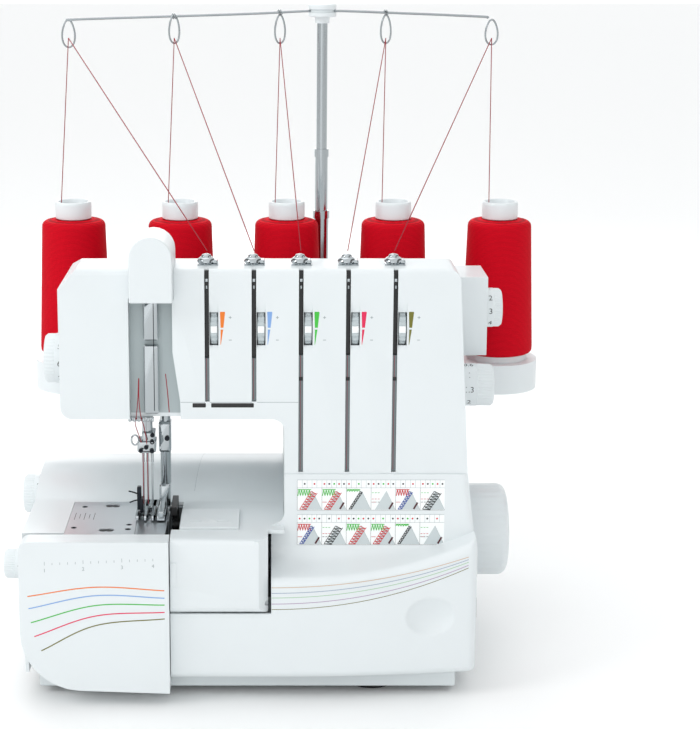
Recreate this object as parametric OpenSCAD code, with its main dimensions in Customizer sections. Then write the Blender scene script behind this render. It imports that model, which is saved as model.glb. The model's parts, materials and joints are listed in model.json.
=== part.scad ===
// Five thread overlock machine with telescopic thread stand.
// Millimetres, +Z up, front towards -Y, origin on the table under the middle of the machine.

/* [Base] */
// Left side of the base, from the middle
base_left = 175; // [165:1:180]
// Right side of the base, from the middle
base_right = 124; // [112:1:150]
// Front of the lower housing, from the middle
base_front = 122; // [118:1:126]
// Rear of the base, from the middle
base_rear = 68; // [62:1:68]
// Height of the sewing bed
bed_z = 113; // [100:1:126]
// Underside of the base housing
base_z = 16; // [14:1:20]
// Wall of every housing
wall = 2.5; // [1.5:0.5:3]

/* [Head] */
// Top of the head
head_top = 285; // [265:1:310]
// Underside of the arm
arm_z = 185; // [170:1:200]
// Front face of the head, from the middle
head_front = 92; // [90:1:96]
// Rear face of the head, from the middle
head_rear = 60; // [54:1:62]
// Left end of the head
head_left = 150; // [140:1:160]
// Left side of the column, from the middle
column_left = 3; // [0:1:8]
// Distance between thread slots
slot_pitch = 30.6; // [28:0.1:31]
// Width of a thread slot
slot_w = 3; // [2:0.5:4]
// Radius of a tension thumbwheel
wheel_r = 15; // [12:0.5:16]

/* [Needle area] */
// Needle bar, left of the middle
needle_x = 94.5; // [90:0.5:98]
// Needle bar, in front of the middle
needle_y = 72; // [71:0.5:74]
// Radius of the needle bar and presser bar
bar_r = 3.5; // [2.5:0.5:4]

/* [Drive] */
// Height of the main shaft
shaft_z = 78; // [72:1:82]
// Radius of the main shaft
shaft_r = 5; // [3:0.5:6]
// Radius of the handwheel
handwheel_r = 32.5; // [28:0.5:36]
// Radius of the large belt pulley
pulley_r = 28; // [22:1:29]

/* [Thread stand] */
// Distance between thread cones
cone_pitch = 80; // [66:1:84]
// Depth of the spool tray
tray_d = 61; // [56:1:64]
// Top of the spool tray
tray_z = 181; // [170:1:195]
// Height of a thread cone
cone_h = 115; // [90:1:130]
// Radius at the foot of a thread cone
cone_r = 27; // [22:0.5:28]
// Height of the thread guide wire
guide_z = 441; // [420:1:460]

/* [Hidden] */
$fn = 48;
play = 0.05;
gap = 0.3;
seam_z = 148;
slots = 5;
slot_x0 = -53.5;
wheel_y = -head_front + wheel_r - 1;
wheel_z = 245.5;
wheel_dx = 4.6;
wheel_w = 4.8;
stud_r = 2;
split_y = -60;
plate_t = 2.5;
plate_front = -113;
plate_rear = -45;
plate_left = -147;
insert_left = -101;
insert_right = -81;
dial_stub_r = 3;
cover_top = bed_z + 0.5;
cover_front = -130;
looper_front = -base_front - 3;
looper_left = -77.4;
looper_right = -13.8;
looper_chamfer = 7;
looper_travel = 1.8;
housing_left = looper_right + looper_travel + gap;
looper_low = 62.5;
hinge_r = 6;
hinge_y = looper_front + hinge_r;
hinge_z = looper_low + hinge_r;
rod_r = 2;
left_axis = [-base_left + 3, -114];
left_pin_r = 1.5;
motor_y = 36;
motor_z = 50;
motor_r = 22;
rotor_r = 8;
pulley_x = [76, 88];
bar_presser = [-83, -62];
tray_y = 130 - tray_d / 2;
tray_half = 190.5;
mast_x = 26.5;
mast_y = tray_y + 20;
mast_radii = [5.5, 4.7, 4];
mast_joints = [291, 338];
bracket_x = 7 - column_left;
bracket_w = 60;
cone_z = tray_z + 5;
cap_r = 13.5;
wire_r = 1.1;
hub_r = 10.5;
bed_low = bed_z - plate_t;
eye_pitch = 79;
eye_x0 = -163;
guide_y = mast_y;

white = "#eef1f2";
grey = "#b9c3c5";
steel = "#c4c8cb";
dark = "#33363a";
red = "#c4002b";

// Points of an arc round [cx, cy] from angle a0 to a1.
function arc(cx, cy, r, a0, a1, n = 6) =
    [for (i = [0:n]) let (a = a0 + (a1 - a0) * i / n) [cx + r * cos(a), cy + r * sin(a)]];

// Middle of thread slot i, counted from the left.
function slot_x(i) = slot_x0 + slot_pitch * i;

// Middle of thread cone i, counted from the left.
function cone_x(i) = cone_pitch * (i - 2);

// Middle of thread eye i, counted from the left.
function eye_x(i) = eye_x0 + eye_pitch * i;

// Box between two corners.
module block(low, high) {
    translate(low) cube(high - low);
}

// Cylinder along X between x0 and x1 round [y, z].
module rod_x(x0, x1, y, z, r) {
    translate([x0, y, z]) rotate([0, 90, 0]) cylinder(h = x1 - x0, r = r);
}

// Cylinder along Y between y0 and y1 round [x, z].
module rod_y(y0, y1, x, z, r) {
    translate([x, y1, z]) rotate([90, 0, 0]) cylinder(h = y1 - y0, r = r);
}

// Cylinder along Z between z0 and z1 round [x, y].
module rod_z(z0, z1, x, y, r) {
    translate([x, y, z0]) cylinder(h = z1 - z0, r = r);
}

// Round bar from point p to point q.
module bar(p, q, r, n = 16) {
    v = q - p;
    translate(p) rotate([0, acos(v[2] / norm(v)), atan2(v[1], v[0])]) cylinder(h = norm(v), r = r, $fn = n);
}

// A side outline in Y and Z, carried along X from x0 to x1.
module along_x(x0, x1) {
    translate([x0, 0, 0]) rotate([90, 0, 90]) linear_extrude(x1 - x0) children();
}

// A front outline in X and Z, carried along Y from y0 to y1.
module along_y(y0, y1) {
    translate([0, y1, 0]) rotate([90, 0, 0]) linear_extrude(y1 - y0) children();
}

// Front outline of the head and column, drawn in by t, down to height low.
function head_outline(t, low) = let (r = 8, right = base_right - 6) concat(
    arc(-head_left + r, arm_z + r, r - t, 180, 270),
    arc(-column_left - r, arm_z - r, r + t, 90, 0),
    [[-column_left + t, low], [right - t, low], [right - t, seam_z]],
    arc(right - 7 - r, head_top - r, r - t, 0, 90),
    [[-head_left + 12, head_top - t], [-head_left + t, head_top - 13 + t / 4]]);

// Side outline of the head, drawn in by t, down to height low.
function head_side(t, low) = let (r = 4, q = 12) concat(
    [[-head_front + t, low], [head_rear - t, low]],
    arc(head_rear - q, head_top - 25 - q, q - t, 0, 60),
    [[-52, head_top - t]],
    arc(-head_front + r, head_top - r, r - t, 90, 180));

// Solid head, drawn in by t, reaching down to low.
module head_block(t, low) {
    intersection() {
        along_y(-head_front - 1, head_rear + 1) polygon(head_outline(t, low));
        along_x(-head_left - 1, base_right + 1) polygon(head_side(t, low));
    }
}

// Outline of the hood over the take-up lever, drawn in by t.
module hood_outline(t, low) {
    polygon(concat([[-103 + t, low], [-75 - t, low]], arc(-89, 294, 14 - t, 0, 180, 12)));
}

// Sloping finger scoops above and below the window of a thumbwheel whose middle is at x.
module window_scoops(x) {
    f = -head_front;
    along_x(x - wheel_w / 2 - 0.5, x + wheel_w / 2 + 0.5) {
        polygon([[f - 1, wheel_z + 19], [f, wheel_z + 18], [f + 2, wheel_z + 10], [f - 1, wheel_z + 10]]);
        polygon([[f - 1, wheel_z - 15], [f, wheel_z - 14], [f + 2, wheel_z - 10], [f - 1, wheel_z - 10]]);
    }
}

module head_front_cover() color(white) {
    difference() {
        union() {
            difference() {
                head_block(0, seam_z);
                head_block(wall, seam_z - 1);
                block([-200, split_y, 0], [200, 200, 400]);
            }
            block([-107, -head_front + 1, arm_z + wall], [-68.5, -head_front + 10, 268]);
            for (i = [0:slots - 1])
                block([slot_x(i) - 8.5, -head_front + 1, wheel_z - 7], [slot_x(i) - 6, wheel_y + 8, wheel_z + 7]);
        }
        along_y(-head_front - 1, -head_front + 8)
            polygon([[-104.5, arm_z - 1], [-71, arm_z - 1], [-71.3, 197], [-76, 230], [-76, 266], [-104.5, 266]]);
        along_y(-head_front - 1, split_y - 1.5) hood_outline(-0.1, 264.9);
        for (i = [0:slots - 1]) {
            low = i < 2 ? 197 : seam_z + 1;
            block([slot_x(i) - slot_w / 2, -head_front - 1, low], [slot_x(i) + slot_w / 2, -head_front + 4, head_top + 1]);
            block([slot_x(i) + wheel_dx - wheel_w / 2 - 0.5, -head_front - 1, wheel_z - 11],
                  [slot_x(i) + wheel_dx + wheel_w / 2 + 0.5, -head_front + 4, wheel_z + 11]);
            window_scoops(slot_x(i) + wheel_dx);
            rod_x(slot_x(i) - 9, slot_x(i) - 5, wheel_y, wheel_z, stud_r);
        }
        rod_z(arm_z - 1, arm_z + 4, -needle_x, -needle_y, bar_r + 1);
        rod_z(arm_z - 1, arm_z + 4, bar_presser[0], bar_presser[1], bar_r + 1);
    }
}

module head_rear_cover() color(white) difference() {
    union() {
        difference() {
            head_block(0, bed_low - gap);
            head_block(wall, bed_low - 1);
            block([-200, -200, 0], [200, split_y, 400]);
        }
        difference() {
            block([base_right - 14, 0, 206], [base_right + 16, 45, 262]);
            block([base_right - 15, wall, 206 + wall], [base_right + 16 - wall, 45 - wall, 262 - wall]);
            head_block(wall, bed_z - 1);
        }
    }
    rod_x(base_right + 12, base_right + 17, 22, 236, dial_stub_r + play);
    rod_x(base_right - 14, base_right - 4, -20, 190, dial_stub_r + play);
    rod_x(-152, -146, -40, 214, dial_stub_r + play);
    rod_z(arm_z - 1, arm_z + 4, bar_presser[0], bar_presser[1], bar_r + 1);
    block([-112, head_rear - 5, 226], [-104, head_rear + 1, 240]);
    for (i = [0:5]) block([20 + 12 * i, head_rear - 5, 150], [26 + 12 * i, head_rear + 1, 178]);
}

// Side outline of the lower front housing, drawn in by t.
function front_side(t) = let (f = -base_front) concat(
    [[split_y, base_z + t]],
    arc(f + 6, base_z + 6, 6 - t, 270, 180),
    [[f + t, 78], [f + 3 + t, 85], [f + 12 + t, 91], [f + 22 + t, 95], [f + 27 + t, 100],
     [-head_front - 1 + t, seam_z], [split_y, seam_z]]);

// Front outline of the lower front housing, drawn in by t.
function front_face(t) = [
    [looper_left - 0.2 + t, base_z - 1], [base_right - t, base_z - 1], [base_right - t, 100],
    [base_right - 6 - t, seam_z + 1], [looper_left - 0.2 + t, seam_z + 1]];

module front_housing(t) intersection() {
    along_x(looper_left - 1, base_right + 1) polygon(front_side(t));
    along_y(-base_front - 1, split_y + 1) polygon(front_face(t));
}

module base_front_cover() color(white) difference() {
    union() {
        difference() {
            front_housing(0);
            difference() {
                union() {
                    front_housing(wall);
                    block([looper_left + wall, -85, base_z + wall], [base_right - 6 - wall, 0, 200]);
                }
                block([housing_left, -200, 0], [housing_left + 3, 200, bed_low]);
                block([-column_left, -200, bed_low], [-column_left + wall, 200, 200]);
            }
            block([-200, -200, looper_low - 0.5], [housing_left, 0, 200]);
            block([-14, -104.2, bed_low], [-column_left, 0, 200]);
        }
        block([-62, -104, base_z + wall], [-25, -101.5, hinge_z + 5]);
        for (x = [-55.5, -34.5]) {
            rod_x(x, x + 4, hinge_y, hinge_z, 3.4);
            block([x, hinge_y + 1, hinge_z + 0.5], [x + 4, -101.5, hinge_z + 3.2]);
        }
        for (y = [-95, -77.5]) block([base_right - 8, y, 48], [base_right - 1, y + 2.5, 60]);
        rod_y(-94, -76, base_right - 5, 54, 1.5);
    }
    rod_x(-56, -30, hinge_y, hinge_z, rod_r + play);
    block([base_right - wall - 1, -92, 45], [base_right + 1, -78, 63]);
}

module base_rear_cover() color(white) {
    difference() {
        block([-base_left, -110, base_z], [base_right - 4, base_rear, bed_low - gap]);
        block([-base_left + wall, -111, base_z + wall], [base_right - 4 - wall, base_rear - wall, bed_z]);
        block([-base_left + wall, -111, base_z - 1], [base_right, split_y, bed_z]);
        block([-base_left + wall, -200, base_z - 1], [base_right - 4 - wall, -30, bed_z]);
        rod_x(-180, -170, 20, 98, dial_stub_r + play);
        rod_x(-180, -170, -85, 83, dial_stub_r + play);
        rod_x(base_right - 14, base_right + 6, 0, shaft_z, shaft_r + 1);
        block([base_right - 8, 35, 30], [base_right, 59, 48]);
        for (i = [0:7]) block([-150 + 12 * i, base_rear - 4, 40], [-144 + 12 * i, base_rear + 1, 80]);
    }
    rod_z(58, 108, left_axis[0], left_axis[1], left_pin_r);
    for (z = [60, 96]) {
        rod_z(z, z + 6, left_axis[0], left_axis[1], 2.9);
        block([left_axis[0] - 2, left_axis[1], z], [left_axis[0] + 2, -109, z + 6]);
    }
}

// Side outline of the crowned bed, drawn in by t.
module crown(t) {
    rise = 11;
    half = (base_rear - plate_rear) / 2;
    r = (half * half + rise * rise) / (2 * rise);
    intersection() {
        translate([base_rear - half, bed_z + rise - r]) circle(r - t, $fn = 180);
        translate([plate_rear + t, bed_low - t]) square([2 * half - 2 * t, 30]);
    }
}

module bed_cover() color(white) {
    difference() {
        along_x(-base_left, -column_left) crown(0);
        along_x(-base_left + wall, -column_left - wall) crown(wall);
    }
    block([-base_left, -110, bed_low], [plate_left - 0.2, plate_rear, bed_z]);
    block([-72, -104, bed_low], [-column_left - 0.2, plate_rear, bed_z]);
}

module looper_shelf() color(white) difference() {
    block([-72, -104, bed_z], [-33, -66, bed_z + 2]);
    for (x = [-66, -48]) block([x, -92, bed_z + 1], [x + 8, -91, bed_z + 3]);
}

module needle_plate() color(steel) difference() {
    block([plate_left, plate_front, bed_low], [insert_left - 0.2, plate_rear - 0.2, bed_z]);
    for (y = [-104, -54], x = [-122, -118]) rod_z(bed_z - 0.6, bed_z + 1, x, y, 3);
    for (p = [[-139, -56], [-142, -99], [-106, -93], [-106, -102]]) rod_z(bed_z - 1, bed_z + 1, p[0], p[1], 2);
}

module needle_plate_insert() color(steel) difference() {
    block([insert_left, plate_front, bed_low], [insert_right, plate_rear - 0.2, bed_z]);
    block([-99.5, -needle_y - 3, 100], [-89.5, -needle_y + 2.2, 120]);
    for (x = [-97, -91, -86]) block([x - 0.4, -68.5, 100], [x + 2.4, -46.7, 120]);
}

module looper_outline(t) {
    polygon(concat(
        arc(hinge_y, hinge_z, hinge_r - t, 180, 270, 8),
        [[hinge_y, hinge_z + hinge_r - t], [looper_front + wall + t, hinge_z + hinge_r]],
        [[looper_front + wall, cover_top - wall], [-104.5, cover_top - wall], [-104.5, cover_top]],
        arc(looper_front + 4, cover_top - 4, 4, 90, 180, 4)));
}

module looper_cover() color(white) difference() {
    union() {
        along_x(looper_left, looper_right) looper_outline(0);
        rod_x(looper_left, looper_right, hinge_y, hinge_z, hinge_r);
        block([looper_left, looper_front + 2, hinge_z], [looper_left + 2, -108, cover_top - 1]);
        block([looper_right - 2, looper_front + 2, hinge_z], [looper_right, -108, cover_top - 1]);
        block([looper_right - looper_chamfer - 2, looper_front, hinge_z],
              [looper_right, looper_front + looper_chamfer + 2, cover_top - 1]);
        block([looper_left + 0.2, looper_front - 0.8, 82], [looper_left + 4, looper_front + 1, 98]);
    }
    translate([looper_right, looper_front, looper_low - 1]) linear_extrude(cover_top - looper_low + 2)
        polygon([[-looper_chamfer, -1], [1, -1], [1, looper_chamfer]]);
    rod_x(-80, -10, hinge_y, hinge_z, rod_r + play);
    for (x = [-62, -41]) {
        rod_x(x, x + 11, hinge_y, hinge_z, 4);
        block([x, hinge_y, hinge_z - 8], [x + 11, hinge_y + 20, hinge_z + 8]);
    }
}

module looper_hinge_rod() color(steel) rod_x(-76.5, -21.5, hinge_y, hinge_z, rod_r);

// Front outline of the left cover, drawn in by t.
function left_outline(t) = let (x0 = -base_left + t, z0 = 9.5 + t) concat(
    arc(x0 + 40, z0 + 42, 40, 180, 266, 8),
    [[-78 - t, z0], [-78 - t, cover_top - t]],
    arc(x0 + 6, cover_top - 6 - t, 6, 90, 180, 4));

module left_front_cover() color(white) difference() {
    union() {
        difference() {
            along_y(cover_front, left_axis[1]) polygon(left_outline(0));
            along_y(cover_front + wall, left_axis[1] + 1) polygon(left_outline(wall));
        }
        rod_z(66.5, 95.5, left_axis[0], left_axis[1], 3);
    }
    rod_z(50, 112, left_axis[0], left_axis[1], left_pin_r + play);
    for (z = [60, 96]) rod_z(z - 0.5, z + 6.5, left_axis[0], left_axis[1], 4.4);
    rod_z(102, 108.5, left_axis[0], left_axis[1], 2.2);
}

module base_pan() color(grey) difference() {
    block([-base_left + 9, -108, 5], [base_right - 13, base_rear - 6, base_z]);
    block([-base_left + 12, -105, 4], [base_right - 16, base_rear - 9, base_z - 3]);
}

module rubber_feet() color(dark) {
    for (p = [[56, -84], [-120, -84], [86, 42], [-145, 42]]) rod_z(0, base_z - 3, p[0], p[1], 16);
}

module frame_casting() color(steel) difference() {
    union() {
        block([-160, -50, base_z + wall], [base_right - 12, 55, base_z + 9]);
        block([base_right - 24, -50, base_z + 8], [base_right - 16, 30, arm_z + 60]);
        block([6, -50, base_z + 8], [14, 30, arm_z + 60]);
        block([-120, -50, arm_z + 20], [base_right - 23, -42, arm_z + 60]);
        block([-160, -40, base_z + 8], [-154, 30, 95]);
        block([-145, -50, base_z + 8], [-50, -46.2, bed_low]);
        for (z = [arm_z + 8, arm_z + 55]) block([-103, -needle_y - 6, z], [-75, -42, z + 8]);
        block([-103, -50, arm_z + 8], [-75, -42, arm_z + 63]);
        rod_y(-80, -48, -60, 60, 3);
        rod_y(-80, -48, -128, 60, 3);
        block([-82.4, -60, 96], [-79.6, -49, 104]);
        rod_x(-82, -74.5, -56, 100, 2);
    }
    rod_x(-170, base_right - 4, 0, shaft_z, shaft_r + play);
    rod_z(arm_z, arm_z + 70, -needle_x, -needle_y, bar_r + play);
    rod_z(arm_z, arm_z + 70, bar_presser[0], bar_presser[1], bar_r + play);
}

module tension_units() color(steel) for (i = [0:slots - 1]) translate([slot_x(i), wheel_y, wheel_z]) {
    rotate([0, 90, 0]) {
        translate([0, 0, -8.5]) cylinder(h = 16.5, r = stud_r);
        for (x = [-1.4, 0.4]) translate([0, 0, x]) cylinder(h = 1, r = 9);
        for (x = [-5.6, -4.2, -2.8]) translate([0, 0, x]) cylinder(h = 0.9, r = 4.5);
    }
}

module thumbwheel(i) color(grey) translate([slot_x(i) + wheel_dx - wheel_w / 2, wheel_y, wheel_z]) {
    rotate([0, 90, 0]) difference() {
        cylinder(h = wheel_w, r = wheel_r);
        translate([0, 0, -1]) cylinder(h = wheel_w + 2, r = stud_r + play);
        for (a = [0:15:345]) rotate([0, 0, a]) translate([wheel_r + 0.3, 0, -1]) cylinder(h = wheel_w + 2, r = 1, $fn = 16);
    }
}

module pretension_guides() color(steel) for (i = [0:slots - 1]) translate([slot_x(i), -74, head_top]) {
    block([-6.5, -5, 0], [6.5, 5, 1.2]);
    difference() {
        translate([0, 4, 3]) rotate([90, 0, 0]) cylinder(h = 8, r = 5.5);
        block([-7, -6, -4], [7, 6, 1.2]);
        block([-3.5, -2, 1], [3.5, 2, 10]);
    }
}

module take_up_cover() color(white) difference() {
    along_y(-104, split_y - 2) hood_outline(0, 265);
    along_y(-102, split_y - 4) hood_outline(2, 264);
}

module take_up_pivot() rod_x(-101, -77, -78, 274, 2);

module take_up_lever() color(steel) difference() {
    union() {
        rod_x(-87, -81, -78, 274, 4.5);
        bar([-84, -80, 277], [-84, -92, 294], 1.6);
        rod_x(-86.5, -81.5, -92, 294, 3);
    }
    rod_x(-90, -78, -78, 274, stud_r + play);
    rod_x(-90, -78, -92, 294, 1.5);
}

module thread_guides() color(steel) {
    block([-95, -head_front + 3, arm_z + 3], [-85.5, -head_front + 8, 234]);
    block([-95, -head_front + 3, 237.5], [-85.5, -head_front + 8, 264]);
    difference() {
        block([-106, -88, arm_z - 3], [-90, -79, arm_z]);
        for (i = [0:4]) block([-104.6 + 3 * i, -89, arm_z - 4], [-103.4 + 3 * i, -84, arm_z - 1]);
    }
    take_up_pivot();
}

module needle_bar() color(steel) rod_z(164, arm_z + 66, -needle_x, -needle_y, bar_r);

module needle_clamp() color(steel) difference() {
    block([-101, -needle_y - 6, 157], [-88.5, -needle_y + 6, 172]);
    rod_z(164, 173, -needle_x, -needle_y, bar_r);
    for (x = [-97.5, -94.5, -91.5]) rod_z(156, 163, x, -needle_y, 1);
    for (p = [[-98, 167], [-94, 161], [-91, 168]]) rod_y(-needle_y - 7, -needle_y - 5, p[0], p[1], 1.4);
}

module needles() color(steel) for (x = [-97.5, -94.5, -91.5]) translate([x, -needle_y, 0]) {
    translate([0, 0, 150]) cylinder(h = 13, r = 1);
    translate([0, 0, 116]) cylinder(h = 34, r = 0.6);
    translate([0, 0, 110]) cylinder(h = 6, r1 = 0.15, r2 = 0.6, $fn = 24);
}

module presser_bar() color(steel) {
    rod_z(132, arm_z + 68, bar_presser[0], bar_presser[1], bar_r);
    difference() {
        block([-87.4, -67, 155], [-79, -57, 176]);
        rod_z(150, 180, bar_presser[0], bar_presser[1], bar_r);
    }
}

module presser_foot() color(steel) difference() {
    union() {
        block([-102.5, -88, bed_z + 1], [-82, -52, bed_z + 4]);
        block([-87.4, -66, bed_z + 3], [-80, -56, 132]);
        block([-87, -90, bed_z + 3], [-83, -66, bed_z + 7]);
    }
    block([-99.5, -needle_y - 2.6, 100], [-89.5, -needle_y + 2.6, 130]);
    for (x = [-98, -93]) block([x - 1, -89, 100], [x + 1, -76, 130]);
}

module presser_lifter() color(white) {
    rod_y(head_rear - 8, head_rear + 6, -108, 233, 3.5);
    block([-111, head_rear + 1, 195], [-105, head_rear + 6, 233]);
}

module lamp() color("#f6f4e6") block([-132, -74, arm_z - 2.5], [-112, -62, arm_z]);

module main_shaft() color(steel) rod_x(-158, base_right + 7, 0, shaft_z, shaft_r);

module handwheel() color(white) difference() {
    rod_x(base_right + 3, base_right + 33, 0, shaft_z, handwheel_r);
    rod_x(base_right + 2, base_right + 7, 0, shaft_z, shaft_r);
    difference() {
        rod_x(base_right + 2, base_right + 28, 0, shaft_z, handwheel_r - 4);
        rod_x(base_right + 1, base_right + 29, 0, shaft_z, 12);
    }
}

module belt_pulley() color(grey) difference() {
    union() {
        rod_x(pulley_x[0], pulley_x[1], 0, shaft_z, pulley_r - 2);
        for (x = [pulley_x[0], pulley_x[1] - 1]) rod_x(x, x + 1, 0, shaft_z, pulley_r);
    }
    rod_x(70, 90, 0, shaft_z, shaft_r);
}

module motor_pulley() color(steel) {
    rod_x(pulley_x[0], pulley_x[1], motor_y, motor_z, rotor_r - 2);
    for (x = [pulley_x[0], pulley_x[1] - 1]) rod_x(x, x + 1, motor_y, motor_z, rotor_r);
    rod_x(64, pulley_x[0] + 1, motor_y, motor_z, 2.5);
}

// Area inside a belt that runs round both pulleys, t outside their grooves.
module belt_area(t) {
    big = pulley_r - 2 + t;
    small = rotor_r - 2 + t;
    run = [motor_y, motor_z - shaft_z];
    turn = atan2(run[1], run[0]);
    lean = acos((big - small) / norm(run));
    polygon(concat(
        arc(0, shaft_z, big, turn + lean, turn - lean + 360, 48),
        arc(motor_y, motor_z, small, turn - lean, turn + lean, 24)));
}

module drive_belt() color(dark) along_x(pulley_x[0] + 2, pulley_x[1] - 2) difference() {
    belt_area(1.8);
    belt_area(gap);
}

module motor() color(dark) difference() {
    union() {
        rod_x(20, 68, motor_y, motor_z, motor_r);
        block([24, motor_y - 14, base_z + 9], [64, motor_y + 14, motor_z - 10]);
    }
    rod_x(63, 69, motor_y, motor_z, 2.5 + play);
}

module power_inlet() color(dark) difference() {
    block([base_right - 26, 35, 30], [base_right - 3.5, 59, 48]);
    block([base_right - 16, 38, 33], [base_right, 56, 45]);
}

module power_switch() color(dark) difference() {
    block([base_right - 6.5, -91.6, 47], [base_right + 2, -78.4, 61]);
    rod_y(-96, -74, base_right - 5, 54, 1.5 + play);
}

module dial_grip(x0, x1, y, z, r) {
    difference() {
        rod_x(x0, x1, y, z, r);
        for (a = [0:20:340]) translate([x0 + (x1 - x0) * 0.6, y, z]) rotate([a, 0, 0])
            translate([0, 0, r + 0.4]) rotate([0, 90, 0]) cylinder(h = x1 - x0, r = 1, $fn = 16);
    }
}

module dial_selector() color(white) {
    dial_grip(base_right + 16 + gap, base_right + 28, 22, 236, 14);
    rod_x(base_right + 8, base_right + 17, 22, 236, dial_stub_r);
}

module dial_differential() color(white) {
    dial_grip(base_right - 5.5, base_right + 18, -20, 190, 14.8);
    rod_x(base_right - 15, base_right - 5, -20, 190, dial_stub_r);
}

module dial_upper_left() color(white) mirror([1, 0, 0]) {
    dial_grip(head_left + gap, head_left + 15, -40, 214, 17);
    rod_x(head_left - 8, head_left + 1, -40, 214, dial_stub_r);
}

module dial_stitch_length() color(white) mirror([1, 0, 0]) {
    dial_grip(base_left + gap, tray_half, 20, 98, 14);
    rod_x(base_left - 8, base_left + 1, 20, 98, dial_stub_r);
}

module dial_lower_left() color(white) mirror([1, 0, 0]) {
    dial_grip(base_left + gap, tray_half - 0.5, -85, 83, 10);
    rod_x(base_left - 8, base_left + 1, -85, 83, dial_stub_r);
}

// Outline of the spool tray, drawn in by t.
module tray_outline(t) {
    r = tray_d / 2;
    translate([-tray_half + r, -r + t]) square([2 * tray_half - 2 * r, 2 * r - 2 * t]);
    for (x = [-tray_half + r, tray_half - r]) translate([x, 0]) circle(r - t);
}

module spool_tray() color(white) translate([0, tray_y, 0]) difference() {
    union() {
        translate([0, 0, tray_z - 22]) linear_extrude(22) tray_outline(0);
        for (i = [0:4]) translate([cone_x(i), 0, tray_z - 1]) cylinder(h = 6, r = cone_r - 4);
    }
    translate([0, 0, tray_z - 23]) linear_extrude(19) tray_outline(wall);
    for (i = [0:4]) translate([cone_x(i), 0, tray_z - 10]) cylinder(h = 20, r = 3);
    translate([mast_x, mast_y - tray_y, tray_z - 30]) cylinder(h = 40, r = mast_radii[0]);
}

module stand_bracket() color(white) difference() {
    union() {
        block([bracket_x, head_rear, 120], [bracket_x + bracket_w, head_rear + 6, tray_z - 22]);
        block([bracket_x, head_rear + 5, tray_z - 31], [bracket_x + bracket_w, 129, tray_z - 22]);
        block([mast_x + 14, head_rear + 5, 125], [mast_x + 18, 115, tray_z - 25]);
    }
    rod_z(tray_z - 27, tray_z, mast_x, mast_y, mast_radii[0]);
}

module spool_pins() color(steel) {
    for (i = [0:4]) rod_z(tray_z - 4, cone_z + cone_h - 10, cone_x(i), tray_y, 3);
}

// A telescopic tube with a collar at its upper end.
module mast_tube(z0, z1, r, inner) {
    difference() {
        union() {
            rod_z(z0, z1, mast_x, mast_y, r);
            rod_z(z1 - 6, z1, mast_x, mast_y, r + 0.7);
        }
        rod_z(z0 - 1, z1 + 1, mast_x, mast_y, inner + play);
    }
}

module mast_lower() color(steel) mast_tube(tray_z - 27, mast_joints[0], mast_radii[0], mast_radii[1]);

module mast_middle() color(steel) mast_tube(205, mast_joints[1], mast_radii[1], mast_radii[2]);

module mast_upper() color(steel) rod_z(265, guide_z - 9, mast_x, mast_y, mast_radii[2]);

module guide_hub() color(white) translate([mast_x, mast_y, guide_z]) difference() {
    union() {
        translate([0, 0, -9]) cylinder(h = 5, r = 5.5);
        translate([0, 0, -4.5]) cylinder(h = 3.5, r = hub_r);
        translate([0, 0, -1.5]) cylinder(h = 3, r = 9);
        translate([0, 0, 1.2]) cylinder(h = 4, r = hub_r);
    }
    bar([-12, 0, 0], [12, 0, 0], wire_r, 24);
}

// A closed wire loop of width w between heights z0 and z1.
module wire_loop(x, z0, z1, w) {
    r = w / 2 - wire_r;
    translate([x, guide_y, 0]) {
        for (s = [-1, 1]) translate([s * r, 0, z0 + r + wire_r]) cylinder(h = z1 - z0 - 2 * r - 2 * wire_r, r = wire_r, $fn = 16);
        for (s = [0, 1]) translate([0, 0, s == 0 ? z0 + r + wire_r : z1 - r - wire_r]) rotate([90, 0, 0])
            rotate([0, 0, s * 180 + 180]) rotate_extrude(angle = 180) translate([r, 0]) circle(wire_r, $fn = 16);
    }
}

module thread_guide_bar() color(steel) {
    left_end = eye_x(0);
    right_end = eye_x(4);
    bar([left_end + 4, guide_y, guide_z - 6], [mast_x - 12, guide_y, guide_z], wire_r);
    bar([mast_x + 12, guide_y, guide_z], [right_end - 4, guide_y, guide_z - 4], wire_r);
    bar([mast_x - 12, guide_y, guide_z], [mast_x + 12, guide_y, guide_z], wire_r, 24);
    wire_loop(left_end, guide_z - 27, guide_z - 5, 11.5);
    wire_loop(right_end, guide_z - 25, guide_z - 3, 11.5);
    for (i = [1:3]) wire_loop(eye_x(i), guide_z - 24, guide_z - 3 + (i - 1), 9.5);
}

module cone_cores() color(white) for (i = [0:4]) translate([cone_x(i), tray_y, cone_z]) rotate_extrude()
    polygon([[cone_r - 10, 0], [cone_r - 7, 0], [cap_r - 1, cone_h - 13], [cap_r, cone_h - 13], [cap_r, cone_h - 1],
             [cap_r - 1, cone_h], [cap_r - 2.5, cone_h], [cap_r - 2.5, cone_h - 6], [10, cone_h - 14]]);

module cone_windings() color(red) for (i = [0:4]) translate([cone_x(i), tray_y, cone_z]) rotate_extrude()
    polygon([[cone_r - 7, 0], [cone_r - 2, 0], [cone_r, 3], [cone_r - 3.6, cone_h - 19], [cone_r - 5, cone_h - 15.5],
             [cone_r - 9, cone_h - 13.2], [cap_r - 1, cone_h - 13]]);

module threads() color(red) for (i = [0:4]) {
    bar([cone_x(i), tray_y, cone_z + cone_h + 0.5], [eye_x(i), guide_y - 2, guide_z - 20], 0.4, 8);
    bar([slot_x(i), -74, head_top + 9], [eye_x(i), guide_y - 3.2, guide_z - 20], 0.4, 8);
}

module lower_knife() color(steel) block([insert_right, -84, 96], [insert_right + 0.8, -64, bed_z - 0.5]);

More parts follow.
